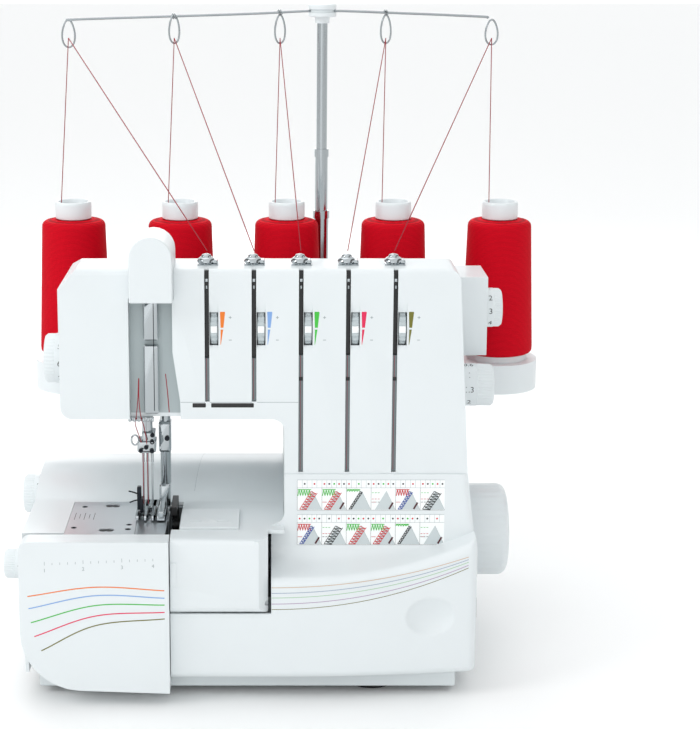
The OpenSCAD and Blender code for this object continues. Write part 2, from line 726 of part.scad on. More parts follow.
module upper_knife() color(dark) difference() {
    union() {
        rod_x(-79, -75, -56, 100, 4.5);
        block([-79, -57, 100], [-75, -52, bed_z + 5]);
        block([-79, -78, bed_z + 1], [-75, -52, bed_z + 7]);
    }
    rod_x(-81, -74, -56, 100, 2 + play);
}

module upper_looper() color(steel) difference() {
    union() {
        rod_y(-79, -72, -60, 60, 6);
        bar([-62, -75.5, 65], [-74, -75.5, 88], 1.8);
        bar([-74, -75.5, 88], [-76.5, -75.5, 101], 1.2);
    }
    rod_y(-80, -70, -60, 60, 3 + play);
}

module lower_looper() color(steel) difference() {
    union() {
        rod_y(-72, -65, -128, 60, 6);
        bar([-126, -68.5, 65], [-116, -68.5, 88], 1.8);
        bar([-116, -68.5, 88], [-104, -68.5, 96], 1.2);
    }
    rod_y(-73, -64, -128, 60, 3 + play);
}

module feed_dogs() color(steel) {
    for (x = [-97, -91, -86]) difference() {
        block([x, -65, 100], [x + 2, -50.5, bed_z + 0.6]);
        for (i = [0:6]) translate([x - 1, -64 + 2 * i, bed_z + 0.8]) rotate([0, 90, 0]) cylinder(h = 4, r = 0.6, $fn = 4);
    }
    block([-98, -65, 96], [-83, -51, 100]);
}

base_pan();
rubber_feet();
frame_casting();
head_front_cover();
head_rear_cover();
base_front_cover();
base_rear_cover();
bed_cover();
looper_shelf();
needle_plate();
needle_plate_insert();
tension_units();
pretension_guides();
take_up_cover();
thread_guides();
lamp();
motor();
drive_belt();
power_inlet();
spool_tray();
stand_bracket();
mast_lower();
spool_pins();
cone_cores();
cone_windings();
threads();
lower_knife();
main_shaft();
handwheel();
belt_pulley();
motor_pulley();
needle_bar();
needle_clamp();
needles();
take_up_lever();
presser_bar();
presser_foot();
presser_lifter();
looper_hinge_rod();
looper_cover();
left_front_cover();
dial_selector();
dial_differential();
dial_upper_left();
dial_stitch_length();
dial_lower_left();
thumbwheel(0);  // thumbwheel_1
thumbwheel(1);  // thumbwheel_2
thumbwheel(2);  // thumbwheel_3
thumbwheel(3);  // thumbwheel_4
thumbwheel(4);  // thumbwheel_5
power_switch();
mast_middle();
mast_upper();
guide_hub();
thread_guide_bar();
upper_knife();
upper_looper();
lower_looper();
feed_dogs();
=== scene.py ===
"""A domestic overlock machine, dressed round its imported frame.

Every size is in metres in the frame's own axes: +Z up, the front towards -Y, the handwheel at +X.
Housings are softened copies of the frame's own shells. Printed marks, wound thread, springs, screws,
wires and dial markings are surfaces worked out here from the places of those shells.
"""
import json
import logging
import math
from dataclasses import dataclass
from enum import Enum
from typing import Any, Callable, Sequence

import bmesh
import bpy
import numpy as np
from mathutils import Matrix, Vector


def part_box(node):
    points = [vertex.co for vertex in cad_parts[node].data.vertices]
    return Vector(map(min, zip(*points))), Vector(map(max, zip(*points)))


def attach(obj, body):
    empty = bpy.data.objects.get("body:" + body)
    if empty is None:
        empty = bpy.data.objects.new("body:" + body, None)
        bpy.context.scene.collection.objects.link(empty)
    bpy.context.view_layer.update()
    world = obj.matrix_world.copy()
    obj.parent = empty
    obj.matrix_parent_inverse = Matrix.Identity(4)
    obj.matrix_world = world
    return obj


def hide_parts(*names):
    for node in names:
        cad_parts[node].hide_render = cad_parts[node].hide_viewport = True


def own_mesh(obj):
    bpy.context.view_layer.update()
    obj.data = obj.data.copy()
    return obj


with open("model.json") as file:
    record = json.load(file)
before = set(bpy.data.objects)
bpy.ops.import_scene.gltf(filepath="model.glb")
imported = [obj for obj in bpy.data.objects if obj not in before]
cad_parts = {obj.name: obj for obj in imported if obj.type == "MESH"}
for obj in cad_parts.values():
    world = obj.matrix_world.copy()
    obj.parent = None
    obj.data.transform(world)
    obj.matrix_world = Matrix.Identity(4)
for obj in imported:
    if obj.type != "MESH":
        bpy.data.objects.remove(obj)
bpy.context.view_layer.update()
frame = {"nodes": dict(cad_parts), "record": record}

LOG = logging.getLogger("overlock")
MM = 0.001
ROOT = "root"
Array = np.ndarray


class Figure(Enum):
    """Stitch drawings that the chart shows."""

    THREE_THREAD = 0
    FOUR_THREAD = 1
    ROLLED_HEM = 2
    CHAIN = 3
    COVER = 4
    FLATLOCK = 5


def linear(code: str) -> tuple[float, float, float, float]:
    """Turns an sRGB hex colour to linear light: c/12.92 below 0.04045, else ((c+0.055)/1.055)^2.4."""
    raw = np.array([int(code[i:i + 2], 16) for i in (1, 3, 5)]) / 255.0
    lit = np.where(raw <= 0.04045, raw / 12.92, ((raw + 0.055) / 1.055) ** 2.4)
    return (float(lit[0]), float(lit[1]), float(lit[2]), 1.0)


def add_node(tree: bpy.types.NodeTree, kind: str, links: dict[Any, Any] | None = None,
             values: dict[Any, Any] | None = None, **settings: Any) -> bpy.types.Node:
    """Adds a shader node with its settings, socket values and links.

    Args:
        tree: the node tree that takes the node.
        kind: the node's type name.
        links: input socket name or index to the output socket that feeds it.
        values: input socket name or index to its value.
        settings: attributes of the node itself.

    Returns:
        The new node.
    """
    node = tree.nodes.new(kind)
    for key, value in settings.items():
        setattr(node, key, value)
    for key, value in (values or {}).items():
        node.inputs[key].default_value = value
    for key, socket in (links or {}).items():
        tree.links.new(socket, node.inputs[key])
    return node


@dataclass(frozen=True)
class Finish:
    """A surface finish: what the material is and how its face was made.

    grain is the size of the surface's texture and relief its depth, both in metres. stretch lengthens
    the grain along one axis, as brushing and spinning do. mottle is the small change of roughness.
    """

    name: str
    colour: str
    slot: str
    roughness: float
    metallic: float = 0.0
    ior: float = 1.5
    grain: float = 0.4 * MM
    relief: float = 0.01 * MM
    mottle: float = 0.05
    stretch: tuple[float, float, float] = (1.0, 1.0, 1.0)
    tint: float = 0.03
    coat: float = 0.0

    def shade(self, factor: float) -> tuple[float, float, float, float]:
        """Gives the finish's colour with its light multiplied by factor."""
        red, green, blue, _ = linear(self.colour)
        return (min(1.0, red * factor), min(1.0, green * factor), min(1.0, blue * factor), 1.0)

    def material(self) -> bpy.types.Material:
        """Builds the finish once and gives it again after that.

        Returns:
            The material: noise of the grain's size moves colour and roughness and lifts a bump.
        """
        known = bpy.data.materials.get(self.name)
        if known:
            return known
        made = bpy.data.materials.new(self.name)
        made.use_nodes = True
        tree = made.node_tree
        shader = tree.nodes["Principled BSDF"]
        shader.inputs["Metallic"].default_value = self.metallic
        if not self.metallic:
            shader.inputs["IOR"].default_value = self.ior
        shader.inputs["Coat Weight"].default_value = self.coat
        shader.inputs["Coat Roughness"].default_value = 0.08
        place = add_node(tree, "ShaderNodeTexCoord").outputs["Object"]
        drawn = add_node(tree, "ShaderNodeMapping", {"Vector": place},
                         {"Scale": tuple(1.0 / s for s in self.stretch)}).outputs["Vector"]
        self.dress(tree, shader, drawn)
        return made

    def dress(self, tree: bpy.types.NodeTree, shader: bpy.types.Node, place: bpy.types.NodeSocket) -> None:
        """Links the grain to colour, roughness and bump.

        Args:
            tree: the material's node tree.
            shader: its Principled BSDF.
            place: the stretched Object coordinates.
        """
        fine = add_node(tree, "ShaderNodeTexNoise", {"Vector": place},
                        {"Scale": 1.0 / self.grain, "Detail": 3.0}).outputs["Fac"]
        broad = add_node(tree, "ShaderNodeTexNoise", {"Vector": place},
                         {"Scale": 1.0 / (60 * MM), "Detail": 4.0}).outputs["Fac"]
        colour = add_node(tree, "ShaderNodeMix", {"Factor": broad}, data_type="RGBA")
        colour.inputs["A"].default_value = self.shade(1.0 - self.tint)
        colour.inputs["B"].default_value = self.shade(1.0 + self.tint)
        tree.links.new(colour.outputs["Result"], shader.inputs["Base Color"])
        rough = add_node(tree, "ShaderNodeMapRange", {"Value": fine},
                         {"To Min": max(0.02, self.roughness - self.mottle),
                          "To Max": min(1.0, self.roughness + self.mottle)}).outputs["Result"]
        tree.links.new(rough, shader.inputs["Roughness"])
        bump = add_node(tree, "ShaderNodeBump", {"Height": fine},
                        {"Strength": 1.0, "Distance": self.relief}).outputs["Normal"]
        tree.links.new(bump, shader.inputs["Normal"])


@dataclass(frozen=True)
class WoundThread(Finish):
    """Spun thread laid side by side, one turn each pitch up the cone and crossed by the next layer."""

    pitch: float = 0.9 * MM

    def dress(self, tree: bpy.types.NodeTree, shader: bpy.types.Node, place: bpy.types.NodeSocket) -> None:
        """Links turns of thread to bump and to colour: a wave along Z, broken up by fine noise, paints shade
        into the grooves between turns and highlight on their crests.

        Args:
            tree: the material's node tree.
            shader: its Principled BSDF.
            place: the Object coordinates.
        """
        turns = add_node(tree, "ShaderNodeTexWave", {"Vector": place},
                         {"Scale": 1.0 / (self.pitch * 2.0 * math.pi) * 2.0, "Distortion": 2.4,
                          "Detail": 2.0, "Detail Scale": 1.0}, bands_direction="Z").outputs["Fac"]
        fuzz = add_node(tree, "ShaderNodeTexNoise", {"Vector": place},
                        {"Scale": 1.0 / self.grain, "Detail": 4.0}).outputs["Fac"]
        height = add_node(tree, "ShaderNodeMath", {0: turns, 1: fuzz}, operation="ADD").outputs["Value"]
        ramp = add_node(tree, "ShaderNodeMapRange", {"Value": height},
                        {"From Min": 0.4, "From Max": 1.5}).outputs["Result"]
        # Painted shade and highlight: the colour drops to half in the grooves and rises on the crests,
        # following the bump's height.
        colour = add_node(tree, "ShaderNodeMix", {"Factor": ramp}, data_type="RGBA")
        colour.inputs["A"].default_value = self.shade(0.5)
        colour.inputs["B"].default_value = self.shade(1.15)
        tree.links.new(colour.outputs["Result"], shader.inputs["Base Color"])
        shader.inputs["Roughness"].default_value = self.roughness
        bump = add_node(tree, "ShaderNodeBump", {"Height": height},
                        {"Strength": 0.7, "Distance": self.relief}).outputs["Normal"]
        tree.links.new(bump, shader.inputs["Normal"])


# Injection-moulded ABS, polished mould: cool white with a soft broad highlight.
WHITE_ABS = Finish("white_moulded_abs", "#DFE5E7", "white_plastic", 0.34, ior=1.54, grain=0.9 * MM,
                   relief=0.004 * MM, coat=0.12)
# The same ABS left satin and greyer: wheels and pan. The linings and channels below are greyer still, as
# painted shade in the recess beside the rail and in the thread slots.
SATIN_ABS = Finish("satin_grey_abs", "#B9C3C6", "grey_plastic", 0.42, ior=1.54, grain=0.5 * MM)
PALE_ABS = Finish("pale_grey_abs", "#D3DADC", "grey_plastic", 0.38, ior=1.54, grain=0.5 * MM)
# Painted shade: a grey sheet for the shaded recess beside the rail.
RAIL_RECESS_SHADE_ABS = Finish("grey_lining_abs", "#A9B4B6", "grey_plastic", 0.4, ior=1.54, grain=0.5 * MM)
# Painted shade: dark grey for the shaded floor of the thread slots.
SLOT_SHADE_ABS = Finish("dark_grey_channel_abs", "#6F797C", "grey_plastic", 0.4, ior=1.54, grain=0.5 * MM)
# Glass-filled nylon: near black with a matt mould texture.
BLACK_NYLON = Finish("black_nylon", "#121315", "black", 0.45, ior=1.53, grain=0.3 * MM, relief=0.02 * MM)
# Nickel over polished steel: bright, a little cool.
NICKEL = Finish("bright_nickel_plate", "#AEB4B7", "chrome", 0.12, metallic=1.0, grain=2.0 * MM,
                relief=0.001 * MM, mottle=0.03)
# Drawn spring-steel wire, lightly polished: its colour is painted darker than plate, as painted shade for its
# round sides that turn away from the light.
DRAWN_WIRE = Finish("drawn_steel_wire", "#9DA3A6", "chrome", 0.22, metallic=1.0, grain=0.6 * MM,
                    relief=0.001 * MM)
# Ground and lightly polished steel with grinding lines along X.
GROUND_STEEL = Finish("ground_steel", "#D3D8DB", "steel_plate", 0.34, metallic=1.0, grain=0.25 * MM,
                      relief=0.002 * MM, stretch=(14.0, 1.0, 1.0))
SPRING_STEEL = Finish("blued_spring_steel", "#2B2E33", "chrome", 0.3, metallic=1.0, grain=0.4 * MM,
                      relief=0.002 * MM)
# Pressure-cast aluminium with the mould's fine skin.
CAST_ALLOY = Finish("cast_aluminium", "#A9AEB1", "casting", 0.5, metallic=1.0, grain=0.6 * MM,
                    relief=0.03 * MM)
RUBBER = Finish("moulded_rubber", "#1B1C1E", "rubber", 0.72, ior=1.52, grain=0.5 * MM, relief=0.02 * MM)
LENS = Finish("frosted_lamp_lens", "#F4F0DC", "lens", 0.35, ior=1.49)
# Spun polyester: deep red, matt, with painted shade in the grooves between turns and painted highlight on
# their crests. The turns are drawn coarser than life.
RED_WINDING = WoundThread("red_spun_polyester", "#D2001C", "thread", 0.75, ior=1.2, grain=0.35 * MM,
                          relief=0.08 * MM)
# Running thread: the cones' red painted darker, as painted shade along a thin round thread.
SHADED_RED_THREAD = Finish("red_thread", "#8E0A1E", "thread", 0.65, grain=0.3 * MM, relief=0.05 * MM)


def ink(name: str, colour: str) -> Finish:
    """Gives pad-printed ink of one colour: thin, satin, a little uneven."""
    return Finish(f"{name}_printed_ink", colour, "white_plastic", 0.4, grain=0.6 * MM, relief=0.002 * MM)


INK_BLACK = ink("black", "#17181A")
INK_GREY = ink("grey", "#9AA5A8")
INK_PALE = ink("pale_grey", "#C6CFD1")
INK_WHITE = ink("white", "#F6F9F9")
INK_ORANGE = ink("orange", "#E87817")
INK_BLUE = ink("light_blue", "#7FA6DC")
INK_NAVY = ink("blue", "#27479B")
INK_GREEN = ink("green", "#3DBB3A")
INK_MAGENTA = ink("magenta", "#DD1250")
INK_RED = ink("red", "#C81E2B")
INK_WINE = ink("wine", "#4A0F1E")
INK_OLIVE = ink("olive", "#6E6C1C")
INK_TAN = ink("tan", "#C9A98A")
INK_SLATE = ink("slate", "#8C9DB6")
INK_LEAF = ink("leaf", "#9CC49C")
INK_PURPLE = ink("purple", "#A584AC")
CHANNELS = (INK_ORANGE, INK_BLUE, INK_GREEN, INK_MAGENTA, INK_OLIVE)


BODY_OF = {node: body for body, nodes in frame["record"]["behaviour"]["bodies"].items() for node in nodes}


def body_of(node: str) -> str:
    """Gives the frame body that carries a node."""
    return BODY_OF[node]


def arc(centre: Sequence[float], radius: float, start: float, stop: float, steps: int = 12) -> Array:
    """Gives points of an arc, centre + radius * (cos a, sin a), with the angles in degrees."""
    turn = np.radians(np.linspace(start, stop, steps + 1))
    return np.stack([centre[0] + radius * np.cos(turn), centre[1] + radius * np.sin(turn)], axis=1)


def oblong(width: float, height: float, radius: float, centre: Sequence[float] = (0.0, 0.0)) -> Array:
    """Gives a rectangle's outline with rounded corners, anticlockwise round centre."""
    radius = max(min(radius, width / 2 - 1e-6, height / 2 - 1e-6), 1e-6)
    across, up = width / 2 - radius, height / 2 - radius
    corners = [arc((across, -up), radius, -90, 0, 6), arc((across, up), radius, 0, 90, 6),
               arc((-across, up), radius, 90, 180, 6), arc((-across, -up), radius, 180, 270, 6)]
    return np.concatenate(corners) + np.asarray(centre)


def grid_faces(rows: int, columns: int, close_rows: bool, close_columns: bool) -> Array:
    """Gives the quads of a grid of points: (i, j), (i, j+1), (i+1, j+1), (i+1, j), wrapped where closed."""
    down = np.arange(rows if close_rows else rows - 1)
    along = np.arange(columns if close_columns else columns - 1)
    i, j = np.meshgrid(down, along, indexing="ij")
    i, j = i.ravel(), j.ravel()
    far_i, far_j = (i + 1) % rows, (j + 1) % columns
    return np.stack([i * columns + j, i * columns + far_j, far_i * columns + far_j, far_i * columns + j],
                    axis=1)


def set_mesh(name: str, points: Array, faces: Sequence[Sequence[int]], smooth: bool) -> bpy.types.Mesh:
    """Makes a mesh from arrays of points and faces, merges doubles and turns its faces outwards.

    Args:
        name: the mesh's name.
        points: n by 3 array of places.
        faces: indices of each face's corners.
        smooth: whether faces meeting under 40 degrees are shaded as one surface.

    Returns:
        The mesh.
    """
    mesh = bpy.data.meshes.new(name)
    mesh.from_pydata(np.asarray(points, dtype=float), [], [tuple(int(k) for k in f) for f in faces])
    work = bmesh.new()
    work.from_mesh(mesh)
    bmesh.ops.remove_doubles(work, verts=work.verts, dist=1e-7)
    bmesh.ops.dissolve_degenerate(work, edges=work.edges, dist=1e-8)
    bmesh.ops.recalc_face_normals(work, faces=work.faces)
    work.to_mesh(mesh)
    work.free()
    if smooth:
        mesh.shade_smooth()
        mesh.set_sharp_from_angle(angle=math.radians(40))
    return mesh


def piece(name: str, mesh: bpy.types.Mesh, finish: Finish, body: str, *replaced: str) -> bpy.types.Object:
    """Puts a mesh in the scene as a piece of the machine.

    Args:
        name: the piece's name.
        mesh: its mesh, in the frame's own place.
        finish: its finish.
        body: the frame body that carries it.
        replaced: frame nodes that it stands for.

    Returns:
        The new object.
    """
    made = bpy.data.objects.new(name, mesh)
    bpy.context.scene.collection.objects.link(made)
    mesh.materials.append(finish.material())
    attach(made, body)
    if replaced:
        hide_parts(*replaced)
    LOG.info("%s: %d faces on %s", name, len(mesh.polygons), body)
    return made


class Solid:
    """Collects closed shapes and puts them in the scene as one piece."""

    def __init__(self) -> None:
        """Starts with no shapes."""
        self.points: list[Array] = []
        self.faces: list[tuple[int, ...]] = []
        self.count = 0

    def add(self, points: Array, faces: Any) -> "Solid":
        """Adds points and faces, the faces numbered from this shape's own first point."""
        points = np.asarray(points, dtype=float).reshape(-1, 3)
        self.faces += [tuple(int(k) + self.count for k in face) for face in faces]
        self.points.append(points)
        self.count += len(points)
        return self

    def prism(self, outline: Array, start: Sequence[float], across: Sequence[float], up: Sequence[float],
              depth: float, inset: float = 0.0) -> "Solid":
        """Adds a plate: the outline's (u, v) at start + u*across + v*up, carried depth along across x up.

        Args:
            outline: n by 2 array, anticlockwise.
            start: place of the outline's origin.
            across: direction of u.
            up: direction of v.
            depth: thickness towards across x up.
            inset: how far the far face's rim is drawn in, as a soft edge.

        Returns:
            This solid.
        """
        across, up = (np.asarray(v, dtype=float) / np.linalg.norm(v) for v in (across, up))
        out = np.cross(across, up)
        flat = np.asarray(outline, dtype=float)
        middle = flat.mean(axis=0)
        reach = np.abs(flat - middle).max(axis=0) + 1e-12
        drawn = middle + (flat - middle) * (1.0 - inset / reach)
        levels = [(flat, 0.0), (flat, depth - inset), (drawn, depth)] if inset else [(flat, 0.0),
                                                                                     (flat, depth)]
        rings = [np.asarray(start) + np.outer(p[:, 0], across) + np.outer(p[:, 1], up) + out * d for p,
                 d in levels]
        count = len(flat)
        sides = grid_faces(len(rings), count, False, True)
        caps = [tuple(range(count))[::-1], tuple(range((len(rings) - 1) * count, len(rings) * count))]
        return self.add(np.concatenate(rings), [tuple(f) for f in sides] + caps)

    def block(self, low: Sequence[float], high: Sequence[float], soft: float = 0.3 * MM) -> "Solid":
        """Adds a box between two corners, its front face's rim softened."""
        low, high = np.asarray(low, dtype=float), np.asarray(high, dtype=float)
        size = high - low
        outline = oblong(size[0], size[2], min(soft, size[0] / 3, size[2] / 3), (size[0] / 2, size[2] / 2))
        return self.prism(outline, (low[0], high[1], low[2]), (1, 0, 0), (0, 0, 1), size[1],
                          min(soft, size[1] / 3))

    def turned(self, profile: Array, centre: Sequence[float], axis: Sequence[float],
               steps: int = 64) -> "Solid":
        """Adds a turned shape: profile (r, h) goes to centre + h*axis + r*(cos t * u + sin t * v).

        Args:
            profile: n by 2 array of radius and height; a radius of zero closes a pole.
            centre: the axis's start.
            axis: its direction.
            steps: points round the axis.

        Returns:
            This solid.
        """
        axis = np.asarray(axis, dtype=float) / np.linalg.norm(axis)
        side = np.array([1.0, 0, 0]) if abs(axis[0]) < 0.9 else np.array([0, 1.0, 0])
        u = np.cross(axis, side)
        u /= np.linalg.norm(u)
        v = np.cross(axis, u)
        turn = np.linspace(0, 2 * math.pi, steps, endpoint=False)
        ring = np.outer(np.cos(turn), u) + np.outer(np.sin(turn), v)
        profile = np.asarray(profile, dtype=float)
        points = np.asarray(centre) + profile[:, 1, None, None] * axis + profile[:, 0, None,
                                                                                 None] * ring[None]
        return self.add(points, grid_faces(len(profile), steps, False, True))

    def tube(self, path: Array, radius: float | Array, sides: int = 10, closed: bool = False) -> "Solid":
        """Adds a round bar along a path: p + r*(cos t * n + sin t * b), n and b square to the path.

        Args:
            path: n by 3 array of places along the middle.
            radius: one radius, or one for each place.
            sides: points round the bar.
            closed: whether the path's end meets its start.

        Returns:
            This solid.
        """
        path = np.asarray(path, dtype=float)
        if closed:
            ahead = np.roll(path, -1, axis=0) - np.roll(path, 1, axis=0)
        else:
            ahead = np.gradient(path, axis=0)
        ahead /= np.linalg.norm(ahead, axis=1)[:, None]
        spread = np.abs(ahead).max(axis=0)
        side = np.eye(3)[int(np.argmin(spread))]
        normal = np.cross(ahead, side)
        normal /= np.linalg.norm(normal, axis=1)[:, None]
        binormal = np.cross(ahead, normal)
        turn = np.linspace(0, 2 * math.pi, sides, endpoint=False)
        radius = np.broadcast_to(np.asarray(radius, dtype=float), len(path))[:, None, None]
        points = path[:, None] + radius * (np.cos(turn)[None, :, None] * normal[:, None]
                                           + np.sin(turn)[None, :, None] * binormal[:, None])
        faces = [tuple(f) for f in grid_faces(len(path), sides, closed, True)]
        if not closed:
            last = (len(path) - 1) * sides
            faces += [tuple(range(sides))[::-1], tuple(range(last, last + sides))]
        return self.add(points, faces)

    def build(self, name: str, finish: Finish, body: str, *replaced: str,
              smooth: bool = True) -> bpy.types.Object:
        """Puts all the shapes in the scene as one piece."""
        mesh = set_mesh(name, np.concatenate(self.points), self.faces, smooth)
        return piece(name, mesh, finish, body, *replaced)


def curve_through(points: Sequence[Sequence[float]], steps: int = 12) -> Array:
    """Gives a smooth path through points, by Catmull-Rom: each stretch leaves along its neighbours' chord."""
    known = np.asarray(points, dtype=float)
    padded = np.concatenate([[2 * known[0] - known[1]], known, [2 * known[-1] - known[-2]]])
    t = np.linspace(0, 1, steps, endpoint=False)[None, :, None]
    a, b, c, d = (padded[k:len(padded) - 3 + k][:, None] for k in range(4))
    path = 0.5 * (2 * b + (c - a) * t + (2 * a - 5 * b + 4 * c - d) * t ** 2
                  + (3 * b - a - 3 * c + d) * t ** 3)
    return np.concatenate([path.reshape(-1, 3), known[-1:]])


def softened(node: str, finish: Finish, edge: float, name: str | None = None,
             reshape: Callable[[Array], Array] | None = None) -> bpy.types.Object:
    """Stands a copy of a frame node in its place, its edges rounded as a mould leaves them.

    Args:
        node: the frame node.
        finish: the copy's finish.
        edge: radius of the rounded edges.
        name: the piece's name, from the node's when left out.
        reshape: moves the points, n by 3, to make room for print or for a finer skin.

    Returns:
        The rounded piece.
    """
    source = frame["nodes"][node]
    mesh = source.data.copy()
    mesh.name = name or f"{node}_moulding"
    mesh.transform(source.matrix_world)
    if reshape:
        places = np.empty(len(mesh.vertices) * 3)
        mesh.vertices.foreach_get("co", places)
        mesh.vertices.foreach_set("co", reshape(places.reshape(-1, 3)).ravel())
    mesh.materials.clear()
    work = bmesh.new()
    work.from_mesh(mesh)
    bmesh.ops.remove_doubles(work, verts=work.verts, dist=2e-6)
    bmesh.ops.dissolve_limit(work, angle_limit=math.radians(1.0), verts=work.verts, edges=work.edges)
    work.to_mesh(mesh)
    work.free()
    mesh.shade_smooth()
    mesh.set_sharp_from_angle(angle=math.radians(40))
    made = piece(mesh.name, mesh, finish, body_of(node), node)
    rounding = made.modifiers.new("rounded_edges", "BEVEL")
    rounding.width = edge
    rounding.segments = 2
    rounding.limit_method = "ANGLE"
    rounding.angle_limit = math.radians(38)
    rounding.harden_normals = True
    rounding.use_clamp_overlap = True
    return made


def bare(finish: Finish, *nodes: str) -> None:
    """Gives frame nodes that keep their own mesh their finish."""
    for node in nodes:
        mesh = frame["nodes"][node].data
        mesh.materials.clear()
        mesh.materials.append(finish.material())
        LOG.info("%s: dressed in %s", node, finish.name)


@dataclass
class Studio:
    """The floor, the lights and the camera."""

    eye: tuple[float, float, float] = (-0.0125, -1.200, 0.496)
    tilt: float = 78.5
    lens: float = 90.0
    shift: tuple[float, float] = (0.1143, -0.1042)
    floor_half: float = 12.0
    bright: float = 0.98
    flag: float = 0.16
    strength: float = 1.2

    def floor(self) -> None:
        """Lays a plain pale floor, a flat square at z = 0."""
        half = self.floor_half
        mesh = bpy.data.meshes.new("floor")
        mesh.from_pydata([(-half, -half, 0), (half, -half, 0), (half, half, 0), (-half, half, 0)], [],
                         [(0, 1, 2, 3)])
        made = bpy.data.objects.new("floor", mesh)
        bpy.context.scene.collection.objects.link(made)
        mesh.materials.append(Finish("pale_floor", "#FAFBFB", "white_plastic", 0.6, grain=20 * MM,
                                     relief=0.0, tint=0.002).material())

    def light(self, name: str, place: Sequence[float], aim: Sequence[float], size: float,
              power: float) -> None:
        """Hangs a soft square light.

        Args:
            name: its name.
            place: where it hangs.
            aim: the place it faces.
            size: length of its side.
            power: watts.
        """
        lamp = bpy.data.lights.new(name, "AREA")
        lamp.size = size
        lamp.energy = power
        made = bpy.data.objects.new(name, lamp)
        made.location = place
        made.rotation_euler = (Vector(aim) - Vector(place)).to_track_quat("-Z", "Y").to_euler()
        bpy.context.scene.collection.objects.link(made)

    def world(self) -> None:
        """Sets a nearly white surround with a darker band at each side, which rounds off bright metal."""
        world = bpy.data.worlds.new("studio")
        bpy.context.scene.world = world
        world.use_nodes = True
        tree = world.node_tree
        ground = tree.nodes["Background"]
        way = add_node(tree, "ShaderNodeTexCoord").outputs["Generated"]
        parts = add_node(tree, "ShaderNodeSeparateXYZ", {"Vector": way})
        side = add_node(tree, "ShaderNodeMath", {0: parts.outputs["X"]},
                        operation="ABSOLUTE").outputs["Value"]
        shade = add_node(tree, "ShaderNodeValToRGB", {"Fac": side})
        stops = ((0.0, self.bright), (0.56, self.bright), (0.66, self.flag), (0.84, self.flag),
                 (0.92, self.bright))
        ramp = shade.color_ramp.elements
        for _ in range(len(stops) - len(ramp)):
            ramp.new(0.5)
        for stop, (place, level) in zip(ramp, stops):
            stop.position = place
            stop.color = (level, level * 1.005, level * 1.01, 1.0)
        tree.links.new(shade.outputs["Color"], ground.inputs["Color"])
        ground.inputs["Strength"].default_value = self.strength

    def camera(self) -> None:
        """Places the camera, level from side to side and tilted down."""
        view = bpy.data.cameras.new("camera")
        view.lens = self.lens
        view.sensor_width = 36.0
        view.sensor_fit = "HORIZONTAL"
        view.shift_x, view.shift_y = self.shift
        made = bpy.data.objects.new("camera", view)
        made.location = self.eye
        made.rotation_euler = (math.radians(self.tilt), 0, 0)
        bpy.context.scene.collection.objects.link(made)
        bpy.context.scene.camera = made

    def build(self) -> None:
        """Sets the whole studio."""
        self.camera()
        self.world()
        self.floor()
        self.light("key", (-1.9, -0.9, 1.5), (0, 0, 0.2), 0.9, 13.0)
        self.light("top", (-0.3, 0.5, 1.9), (0, 0, 0.1), 1.2, 4.0)
        self.light("back fill", (-0.2, 1.7, 0.5), (-0.05, 0, 0.12), 0.8, 2.5)
        self.light("front fill", (-0.5, -1.9, 0.55), (0, 0, 0.08), 1.4, 2.2)
        bpy.context.scene.view_settings.view_transform = "Standard"


@dataclass
class Housings:
    """The white moulded shells, their feet and small fittings."""

    edge: float = 1.2 * MM
    small_edge: float = 0.6 * MM
    proud: float = 0.15 * MM

    def shells(self) -> None:
        """Stands rounded mouldings in place of the plain shells."""
        for node in ("head_front_cover", "head_rear_cover", "base_rear_cover", "bed_cover", "take_up_cover",
                     "spool_tray", "stand_bracket", "looper_cover"):
            softened(node, WHITE_ABS, self.edge)
        for node in ("looper_shelf", "presser_lifter"):
            softened(node, WHITE_ABS, self.small_edge)
        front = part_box("left_front_cover")[0][1]
        softened("left_front_cover", WHITE_ABS, self.edge,
                 reshape=lambda at: np.where(at < [-9, front + 0.01 * MM, -9], front + 2 * self.proud, at))
        softened("base_pan", PALE_ABS, self.edge)

    def fittings(self) -> None:
        """Gives the parts that keep their own mesh their finish."""
        bare(RUBBER, "rubber_feet", "drive_belt")
        bare(CAST_ALLOY, "frame_casting")
        bare(BLACK_NYLON, "motor")
        bare(LENS, "lamp")
        bare(GROUND_STEEL, "main_shaft", "motor_pulley", "looper_hinge_rod", "spool_pins", "feed_dogs",
             "lower_knife")
        bare(PALE_ABS, "belt_pulley")
        bare(NICKEL, "upper_looper", "lower_looper", "needle_bar", "mast_lower", "mast_middle", "mast_upper",
             "needles")
        softened("power_inlet", BLACK_NYLON, self.small_edge)
        softened("upper_knife", BLACK_NYLON, 0.4 * MM)

    def build(self) -> None:
        """Builds every housing."""
        self.shells()
        self.fittings()


